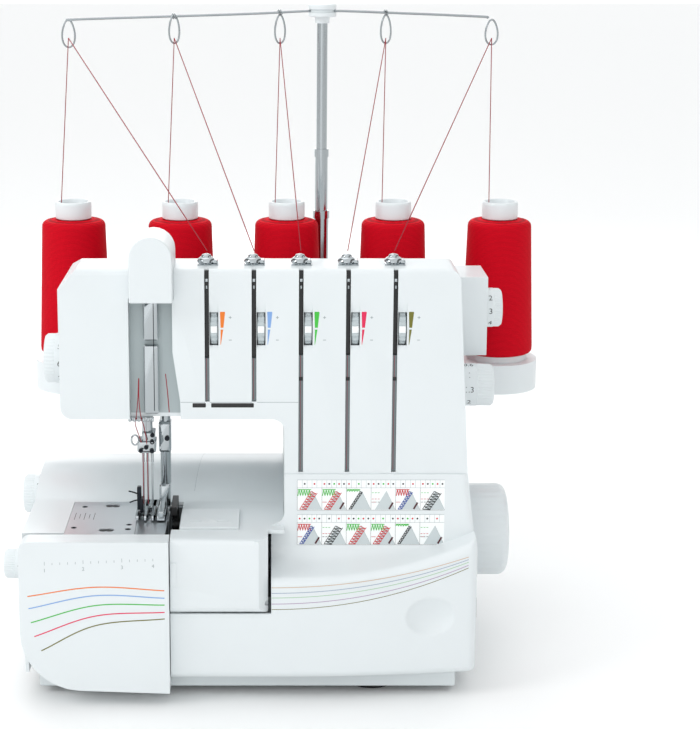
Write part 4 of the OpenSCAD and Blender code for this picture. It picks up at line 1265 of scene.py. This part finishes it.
@dataclass
class PrintedMarks:
    """Everything pad-printed on the front: stripes, stitch chart and ruler."""

    lift: float = 0.06 * MM
    stripe: float = 0.75 * MM
    chart_left: float = 5.5 * MM
    chart_right: float = 103.0 * MM
    rows: tuple[tuple[float, float], ...] = ((123.5 * MM, 144.0 * MM), (99.8 * MM, 120.4 * MM))
    columns: int = 6

    def ribbon(self, solid: Solid, path: Array, wide: float, depth: Array) -> None:
        """Adds a printed line: a strip of quads wide across a path of (x, z) places at depth Y."""
        path = np.asarray(path, dtype=float)
        along = np.gradient(path, axis=0)
        along /= np.linalg.norm(along, axis=1)[:, None]
        side = np.stack([-along[:, 1], along[:, 0]], axis=1) * wide / 2
        edges = np.stack([path + side, path - side], axis=1)
        depth = np.broadcast_to(np.asarray(depth, dtype=float), len(path))
        points = np.stack([edges[..., 0], np.repeat(depth[:, None], 2, 1), edges[..., 1]], axis=-1)
        solid.add(points, grid_faces(len(path), 2, False, False))

    def left_stripes(self) -> None:
        """Prints five stripes that fan in over the left cover, each rising then falling a little."""
        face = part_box("left_front_cover")[0][1] + 0.3 * MM - self.lift
        ways = ((76.9, 83.2, 80.8), (68.5, 77.4, 75.7), (58.9, 70.6, 71.0), (49.3, 63.4, 66.0),
                (39.5, 56.8, 61.5))
        starts = (-169.5, -169.0, -167.7, -165.7, -161.4)
        for finish, heights, start in zip(CHANNELS, ways, starts):
            solid = Solid()
            path = curve_through([(start * MM, 0, heights[0] * MM), (-126 * MM, 0, heights[1] * MM),
                                  (-80.8 * MM, 0, heights[2] * MM)], 24)
            self.ribbon(solid, path[:, [0, 2]], self.stripe, face)
            solid.build(f"left_stripe_{finish.name.split('_')[0]}", finish, "left_door", smooth=False)

    def right_stripes(self) -> None:
        """Prints five stripes that rise to the right over the lower housing."""
        starts = (80.0, 76.2, 73.0, 68.8, 65.0)
        ends = (97.8, 96.0, 94.2, 92.1, 90.3)
        housing = FrontHousing()
        for finish, start, end in zip((INK_TAN, INK_SLATE, INK_LEAF, INK_PURPLE, INK_OLIVE), starts, ends):
            solid = Solid()
            x = np.linspace(-11.5 * MM, 117.5 * MM, 60)
            share = (x - x[0]) / (x[-1] - x[0])
            height = (start + (end - start) * share ** 2.1) * MM
            self.ribbon(solid, np.stack([x, height], 1), self.stripe * 0.55, housing.front(x) - self.lift)
            solid.build(f"right_stripe_{finish.name.split('_')[0]}", finish, ROOT, smooth=False)

    def cell(self, index: int, row: int) -> tuple[float, float, float, float]:
        """Gives one chart cell's left, right, foot and top."""
        pitch = (self.chart_right - self.chart_left) / self.columns
        left = self.chart_left + pitch * index
        return left + 0.05 * MM, left + pitch - 0.05 * MM, self.rows[row][0], self.rows[row][1]

    def plate(self, solid: Solid, outline: Array, level: float) -> None:
        """Adds a flat printed shape whose (x, z) outline lies on the chart's panel, level above it."""
        depth = FrontHousing().panel(outline[:, 1]) - level
        solid.add(np.stack([outline[:, 0], depth, outline[:, 1]], 1), [tuple(range(len(outline)))])

    def stroke(self, solid: Solid, card: tuple[float, float, float, float],
               places: Sequence[tuple[float, float]],
               wide: float, layer: int) -> None:
        """Adds a line on a chart card through places given as shares of the card, (0, 0) at its foot."""
        left, right, foot, top = card
        path = np.array(places, dtype=float) * [right - left, top - foot] + [left, foot]
        fine = np.linspace(0, len(path) - 1, 6 * (len(path) - 1) + 1)
        path = np.stack([np.interp(fine, np.arange(len(path)), path[:, k]) for k in (0, 1)], 1)
        self.ribbon(solid, path, wide, FrontHousing().panel(path[:, 1]) - self.lift * layer)

    def chart(self) -> None:
        """Prints the stitch chart: cards, each with five header boxes and a stitch on a cloth corner."""
        inks = {name: (finish, Solid()) for name, finish in
                (("white", INK_WHITE), ("cloth", INK_PALE), ("shade", INK_GREY), ("red", INK_RED),
                 ("navy", INK_NAVY),
                 ("green", INK_GREEN), ("black", INK_BLACK), ("wine", INK_WINE))}
        for row in range(len(self.rows)):
            for index in range(self.columns):
                left, right, foot, top = self.cell(index, row)
                head = top - (top - foot) * 0.26
                self.plate(inks["white"][1],
                           np.array([(left, foot), (right, foot), (right, top), (left, top)]), self.lift)
                card, header = (left, right, foot, head), (left, right, head, top)
                for share in (0.0, 0.2, 0.4, 0.6, 0.8):
                    self.stroke(inks["shade"][1], header, [(share, 0), (share, 1)], 0.16 * MM, 2)
                for line in ([(0, 0), (1, 0)], [(0, 1), (1, 1)]):
                    self.stroke(inks["shade"][1], header, line, 0.2 * MM, 2)
                self.stroke(inks["black"][1], card, [(0, 0), (1, 0)], 0.16 * MM, 2)
                self.stroke(inks["black"][1], card, [(0, 0), (0, 1)], 0.16 * MM, 2)
                for box, ink_name in enumerate(("red", "black", "green", "red", "black")):
                    if (box * 2 + index * 3 + row) % 4:
                        spot = arc((left + (right - left) * (box + 0.5) / 5, (top + head) / 2), 0.62 * MM, 0,
                                   330, 11)
                        self.plate(inks[ink_name][1], spot, self.lift * 3)
                self.drawing(Figure((index + row * 4) % len(Figure)), {k: v[1] for k, v in inks.items()},
                             card)
        for name, (finish, solid) in inks.items():
            solid.build(f"chart_{name}", finish, ROOT, smooth=False)

    def drawing(self, figure: Figure, inks: dict[str, Solid],
                card: tuple[float, float, float, float]) -> None:
        """Draws one stitch: loops along the cloth's top edge and a band of loops down its slanting edge.

        Args:
            figure: which stitch.
            inks: solids by ink that collect the shapes.
            card: the card's left, right, foot and top.
        """
        left, right, foot, top = card
        size = np.array([right - left, top - foot])
        start = np.array([left, foot])
        peak, spread = (0.62, 0.86), (0.16, 1.0)
        cloth = np.array([(spread[0], 0.02), (spread[1], 0.02), peak])
        self.plate(inks["cloth"], cloth * size + start, self.lift * 1.6)
        self.stroke(inks["shade"], card, [peak, (spread[1], 0.02)], 0.16 * MM, 2)
        band, edge = {Figure.THREE_THREAD: ("red", "green"), Figure.FOUR_THREAD: ("red", "green"),
                      Figure.ROLLED_HEM: ("black", "green"), Figure.CHAIN: ("wine", "shade"),
                      Figure.COVER: ("navy", "red"), Figure.FLATLOCK: ("black", "wine")}[figure]
        wide = {Figure.THREE_THREAD: 0.26, Figure.FOUR_THREAD: 0.24, Figure.COVER: 0.14,
                Figure.FLATLOCK: 0.3}.get(figure, 0.1)
        count = 7
        along = np.linspace(0, 1, 2 * count + 1)
        line = np.stack([0.1 + 0.46 * along, 0.04 + 0.8 * along], 1)
        side = np.where(np.arange(len(along)) % 2, wide, 0.0)
        zigzag = line + np.stack([side, -side * 0.25], 1)
        if figure is not Figure.CHAIN:
            self.stroke(inks[band], card, [tuple(p) for p in zigzag], 0.5 * MM, 3)
            for shift in (0.0, wide):
                self.stroke(inks[band], card, [(0.1 + shift, 0.04), (0.56 + shift, 0.84 - shift * 0.25)],
                            0.4 * MM, 3)
        if figure in (Figure.THREE_THREAD, Figure.FOUR_THREAD, Figure.ROLLED_HEM, Figure.COVER):
            low = 0.52 if figure is not Figure.ROLLED_HEM else 0.72
            loops = [(0.02 + 0.52 * k / 10, 0.92 if k % 2 else low + 0.12) for k in range(11)]
            self.stroke(inks[edge], card, loops, 0.5 * MM, 3)
            self.stroke(inks[edge], card, [(0.02, 0.92), (0.56, 0.92)], 0.5 * MM, 4)
        if figure in (Figure.CHAIN, Figure.FLATLOCK):
            for height, ink_name in ((0.78, "green"), (0.5, "red"), (0.36, "black")):
                for share in (0.03, 0.15, 0.27):
                    self.stroke(inks[ink_name], card, [(share, height), (share + 0.08, height)], 0.34 * MM, 3)
        if figure in (Figure.FOUR_THREAD, Figure.CHAIN, Figure.COVER):
            self.stroke(inks["wine"], card, [(0.74, 0.05), (0.9, 0.34)], 1.2 * MM, 3)
            self.stroke(inks["red"], card, [(0.02, 0.36), (0.2, 0.36)], 0.34 * MM, 3)

    def ruler(self) -> None:
        """Prints the ruler on the left cover: a tick each 5 mm along a rising line, and small numbers."""
        low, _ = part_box("left_front_cover")
        face = low[1] + 0.3 * MM - self.lift
        solid = Solid()
        x = np.linspace(-158 * MM, -88 * MM, 30)
        height = 98.0 * MM + 3.0 * MM * (x - x[0]) / (x[-1] - x[0])
        for tick in range(15):
            at = x[0] + tick * 5 * MM
            base = float(np.interp(at, x, height))
            tall = (2.6 if tick % 5 == 0 else 1.6) * MM
            self.ribbon(solid, np.array([(at, base), (at, base + tall)]), 0.3 * MM, face)
        for tick, mark in ((0, "1"), (5, "2"), (10, "3"), (14, "4")):
            places, faces = glyph(mark, 2.6 * MM)
            at = x[0] + tick * 5 * MM
            base = float(np.interp(at, x, height)) - 3.4 * MM
            solid.add(np.stack([places[:, 0] + at, np.full(len(places), face), places[:, 1] + base], 1),
                      faces)
        solid.build("cover_ruler", INK_GREY, "left_door", smooth=False)

    def build(self) -> None:
        """Prints every mark."""
        self.left_stripes()
        self.right_stripes()
        self.chart()
        self.ruler()


@dataclass
class NeedleArea:
    """Clamp, screws, presser foot, comb, springs, rail, needle plate, the bed's seam and needle threads."""

    crown: float = 11.0 * MM
    screw_tall: float = 1.6 * MM

    def screw(self, solid: Solid, place: Sequence[float], axis: Sequence[float], radius: float) -> None:
        """Adds a cheese-head screw: a rounded disc with a sunk round socket."""
        tall = self.screw_tall
        profile = np.array([(0, -0.3 * MM), (radius, -0.3 * MM), (radius, tall * 0.75), (radius * 0.86, tall),
                            (radius * 0.5, tall), (radius * 0.45, tall * 0.4), (0, tall * 0.4)])
        solid.turned(profile, place, axis, 24)

    def clamp(self) -> None:
        """Builds the needle clamp: a stepped nickel block, its bar boss and five dark screws."""
        low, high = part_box("needle_clamp")
        solid = Solid()
        solid.block((low[0], low[1] + 0.6 * MM, low[2] + 1 * MM), (high[0], high[1], high[2] - 6 * MM),
                    1.0 * MM)
        solid.block((low[0] + 3 * MM, low[1] + 1.4 * MM, low[2] + 6 * MM),
                    (high[0] - 0.6 * MM, high[1], high[2]), 1.0 * MM)
        solid.block((low[0] + 1.5 * MM, low[1] + 2.6 * MM, low[2]),
                    (high[0] - 1.5 * MM, high[1] - 3 * MM, low[2] + 3 * MM))
        solid.build("needle_clamp_block", NICKEL, "needle_unit", "needle_clamp")
        screws = Solid()
        front = low[1] + 1.4 * MM
        for x, z in ((-98.6, 159.5), (-95.0, 161.8), (-91.2, 159.2), (-91.0, 165.2), (-90.8, 170.0)):
            self.screw(screws, (x * MM, front + (0.0 if z > 163 else -0.7 * MM), z * MM), (0, -1, 0),
                       1.5 * MM)
        screws.build("needle_screws", SPRING_STEEL, "needle_unit")
        eye = Solid()
        turn = np.linspace(0, 2 * math.pi, 40, endpoint=False)
        eye.tube(np.stack([-102.6 * MM + 2.4 * MM * np.cos(turn), np.full(40, low[1] + 3 * MM),
                           166 * MM + 3.4 * MM * np.sin(turn)], 1), 0.6 * MM, 8, closed=True)
        eye.build("clamp_thread_loop", NICKEL, "needle_unit")

    def presser(self) -> None:
        """Builds the presser bar with its bracket, and the foot with split toes, shank and tape guide."""
        low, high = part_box("presser_bar")
        x, y = -83 * MM, -62 * MM
        bar = Solid().turned(np.array([(0, 0), (3.0 * MM, 0), (3.5 * MM, 0.6 * MM),
                                       (3.5 * MM, high[2] - low[2]),
                                       (0, high[2] - low[2])]), (x, y, low[2]), (0, 0, 1), 40)
        bar.block((-87.4 * MM, -67 * MM, 155 * MM), (-79 * MM, -57 * MM, 176 * MM), 1.4 * MM)
        bar.build("presser_bar_and_bracket", NICKEL, "presser", "presser_bar")
        screw = Solid()
        self.screw(screw, (-81.6 * MM, -67 * MM, 165 * MM), (0, -1, 0), 1.7 * MM)
        screw.build("bracket_screw", SPRING_STEEL, "presser")
        low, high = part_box("presser_foot")
        foot = Solid()
        base, top = low[2], low[2] + 3 * MM
        for left, right in ((-102.5, -99.4), (-97.2, -94.2), (-92.2, -89.4), (-88.6, -82.0)):
            outline = np.array([(left, -52.2), (left, -84.0), (left + 0.8, -87.6), (right - 0.8, -87.6),
                                (right, -84.0),
                                (right, -52.2)]) * MM
            foot.prism(outline, (0, 0, base), (1, 0, 0), (0, 1, 0), top - base, 0.4 * MM)
        foot.block((-102.5 * MM, -66.5 * MM, base), (-82 * MM, -52.2 * MM, top), 0.6 * MM)
        foot.block((-87.4 * MM, -66 * MM, top - 1 * MM), (-80 * MM, -56 * MM, high[2]), 1.2 * MM)
        foot.block((-87 * MM, -89.8 * MM, top - 1 * MM), (-83 * MM, -66 * MM, top + 3.6 * MM), 0.8 * MM)
        foot.build("presser_foot_sole", NICKEL, "presser", "presser_foot")
        slots = Solid()
        for left in (-100.2, -94.9, -90.0):
            slots.block((left * MM, -86 * MM, top - 0.1 * MM), ((left + 0.9) * MM, -67 * MM, top + 0.15 * MM),
                        0.2 * MM)
        slots.build("foot_dark_slots", SPRING_STEEL, "presser", smooth=False)
        spring = Solid()
        for start, tip in (((-99.5, -76, 128), (-107.0, -80, 132)), ((-99.8, -74, 124), (-106.5, -80, 124))):
            path = curve_through([np.array(start) * MM,
                                  (np.array(start) + np.array(tip)) / 2 * MM + [0, -2 * MM, 1 * MM],
                                  np.array(tip) * MM], 10)
            spring.tube(path, 0.5 * MM, 8)
        spring.block((-101.6 * MM, -78 * MM, 118 * MM), (-98.8 * MM, -74 * MM, 134 * MM), 0.6 * MM)
        spring.block((-99.5 * MM, -79 * MM, top - 0.4 * MM), (-97.6 * MM, -72 * MM, 126 * MM), 0.4 * MM)
        spring.build("foot_guide_springs", SPRING_STEEL, "presser")

    def rail_and_comb(self) -> None:
        """Builds the bright rail on the head's face and the comb that leads the needle threads."""
        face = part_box("head_front_cover")[0][1]
        solid = Solid()
        for foot, top in ((188, 234), (237.5, 264)):
            outline = oblong(9.5 * MM, (top - foot) * MM, 1.0 * MM, (-90.2 * MM, (top + foot) / 2 * MM))
            solid.prism(outline, (0, face + 8 * MM, 0), (1, 0, 0), (0, 0, 1), 5 * MM, 0.5 * MM)
        solid.block((-106 * MM, -86 * MM, 182 * MM), (-90 * MM, -79 * MM, 185 * MM), 0.4 * MM)
        for index in range(6):
            x = (-105.6 + 3 * index) * MM
            solid.block((x, -88 * MM, 182.2 * MM), (x + 1.6 * MM, -85 * MM, 184.8 * MM), 0.3 * MM)
        pivot = np.array([(0, 0), (2.0, 0), (2.0, 24.0), (0, 24.0)]) * MM
        solid.turned(pivot, (-101 * MM, -78 * MM, 274 * MM), (1, 0, 0), 24)
        solid.build("rail_and_comb", NICKEL, ROOT, "thread_guides")
        line = Solid()
        line.block((-88.6 * MM, face + 2.9 * MM, 190 * MM), (-88.1 * MM, face + 3.4 * MM, 262 * MM), 0.1 * MM)
        line.build("rail_groove", SPRING_STEEL, ROOT, smooth=False)

    def take_up(self) -> None:
        """Rounds the frame's take-up lever: a boss on its pivot, an arm and an eye."""
        softened("take_up_lever", NICKEL, 0.3 * MM)

    def plate(self) -> None:
        """Dresses the needle plate and its insert: rounded edges, sunk screws, engraved lines."""
        softened("needle_plate", GROUND_STEEL, 0.3 * MM)
        softened("needle_plate_insert", GROUND_STEEL, 0.3 * MM)
        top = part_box("needle_plate")[1][2]
        screws = Solid()
        for x, y in ((-139, -56), (-142, -99), (-106, -93), (-106, -102)):
            profile = np.array([(0, -0.9), (1.95, -0.9), (1.9, -0.15), (1.2, -0.05), (0.9, -0.6),
                                (0, -0.6)]) * MM
            screws.turned(profile, (x * MM, y * MM, top), (0, 0, 1), 24)
        screws.build("plate_screws", SPRING_STEEL, ROOT)
        lines = Solid()
        for y in (-104, -54):
            lines.prism(oblong(9.4 * MM, 5.4 * MM, 2.6 * MM, (-120 * MM, y * MM)), (0, 0, top - 0.58 * MM),
                        (1, 0, 0),
                        (0, 1, 0), 0.06 * MM)
        for index in range(5):
            x = (-143.5 + 3.2 * index) * MM
            lines.prism(oblong(0.35 * MM, (9 if index % 2 else 14) * MM, 0.1 * MM, (x, -76 * MM)),
                        (0, 0, top),
                        (1, 0, 0), (0, 1, 0), 0.04 * MM)
        lines.build("plate_markings", BLACK_NYLON, ROOT, smooth=False)

    def bed_seam(self) -> None:
        """Draws the seam that crosses the bed from front to rear, over its crown."""
        rear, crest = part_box("base_rear_cover")[1][1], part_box("bed_cover")[1][2]
        half = (rear + 45 * MM) / 2
        radius = (half ** 2 + self.crown ** 2) / (2 * self.crown)
        across = np.linspace(-0.8, 0.98, 40)
        level = crest - radius + np.sqrt(radius ** 2 - (across * half) ** 2)
        way = np.stack([np.linspace(-65 * MM, -60 * MM, 40), rear - half + across * half, level - 0.22 * MM],
                       1)
        seam = Solid().tube(way, 0.25 * MM, 6)
        seam.build("bed_seam", INK_GREY, ROOT)

    def needle_threads(self) -> None:
        """Leads the needle threads down both sides of the rail and through comb and loop to the needles."""
        ways = (
            ((-98.2, -93.0, 213), (-99.0, -92.2, 198), (-100.4, -89.0, 186), (-101.5, -82.0, 178),
             (-97.8, -76.5, 163),
             (-97.5, -73.4, 152), (-97.5, -73.3, 121)),
            ((-98.0, -93.0, 213), (-98.2, -92.4, 198), (-97.4, -88.8, 186), (-96.0, -80.0, 176),
             (-94.5, -77.0, 163),
             (-94.5, -73.4, 152), (-94.5, -73.3, 121)),
            ((-80.6, -93.0, 216), (-79.4, -92.6, 203), (-78.5, -92.6, 190)),
        )
        for index, places in enumerate(ways):
            path = curve_through(np.array(places) * MM, 8)
            made = Solid().tube(path, 0.3 * MM, 6).build(f"needle_thread_{index + 1}", SHADED_RED_THREAD, ROOT)
            if index < 2:
                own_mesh(made)

    def build(self) -> None:
        """Builds the whole needle area."""
        self.clamp()
        self.presser()
        self.rail_and_comb()
        self.take_up()
        self.plate()
        self.bed_seam()
        self.needle_threads()


@dataclass
class LowerDetails:
    """Small features of the lower housing and sides: latch, switch and dials."""

    def latch(self) -> None:
        """Builds the black catch at the looper cover's left edge."""
        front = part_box("looper_cover")[0][1]
        solid = Solid()
        solid.block((-77.2 * MM, front + 0.05 * MM, 82.4 * MM), (-73.8 * MM, front + 1.8 * MM, 97.6 * MM),
                    0.7 * MM)
        solid.build("looper_cover_latch", BLACK_NYLON, "looper_door")

    def switch(self) -> None:
        """Rounds the rocker: a plain black key."""
        softened("power_switch", BLACK_NYLON, 0.8 * MM)

    def dials(self) -> None:
        """Builds the five dials with their numbers."""
        for node, side, start, marks in (
                ("dial_selector", 1, 140.3, ("1", "2", "3", "4", "5")),
                ("dial_differential", 1, 118.5, ("0.6", "1", "1.3", "2")),
                ("dial_upper_left", -1, -150.3, ("5", "6", "7")),
                ("dial_stitch_length", -1, -175.3, ("1", "2", "3", "4")),
                ("dial_lower_left", -1, -175.3, ("5", "7"))):
            low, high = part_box(node)
            end = high[0] if side > 0 else low[0]
            Dial(node, marks, side=side).build(start * MM, end)

    def build(self) -> None:
        """Builds them all."""
        self.latch()
        self.switch()
        self.dials()


def main() -> None:
    """Builds the studio and every sub-assembly."""
    logging.basicConfig(level=logging.INFO, format="%(name)s: %(message)s")
    for part in (Studio(), Housings(), FrontHousing(), ArmDetails(), Handwheel(), LowerDetails(),
                 TensionPanel(), PrintedMarks(), NeedleArea(),
                 ThreadStand()):
        LOG.info("building %s", type(part).__name__)
        part.build()


if __name__ == "__main__":
    main()
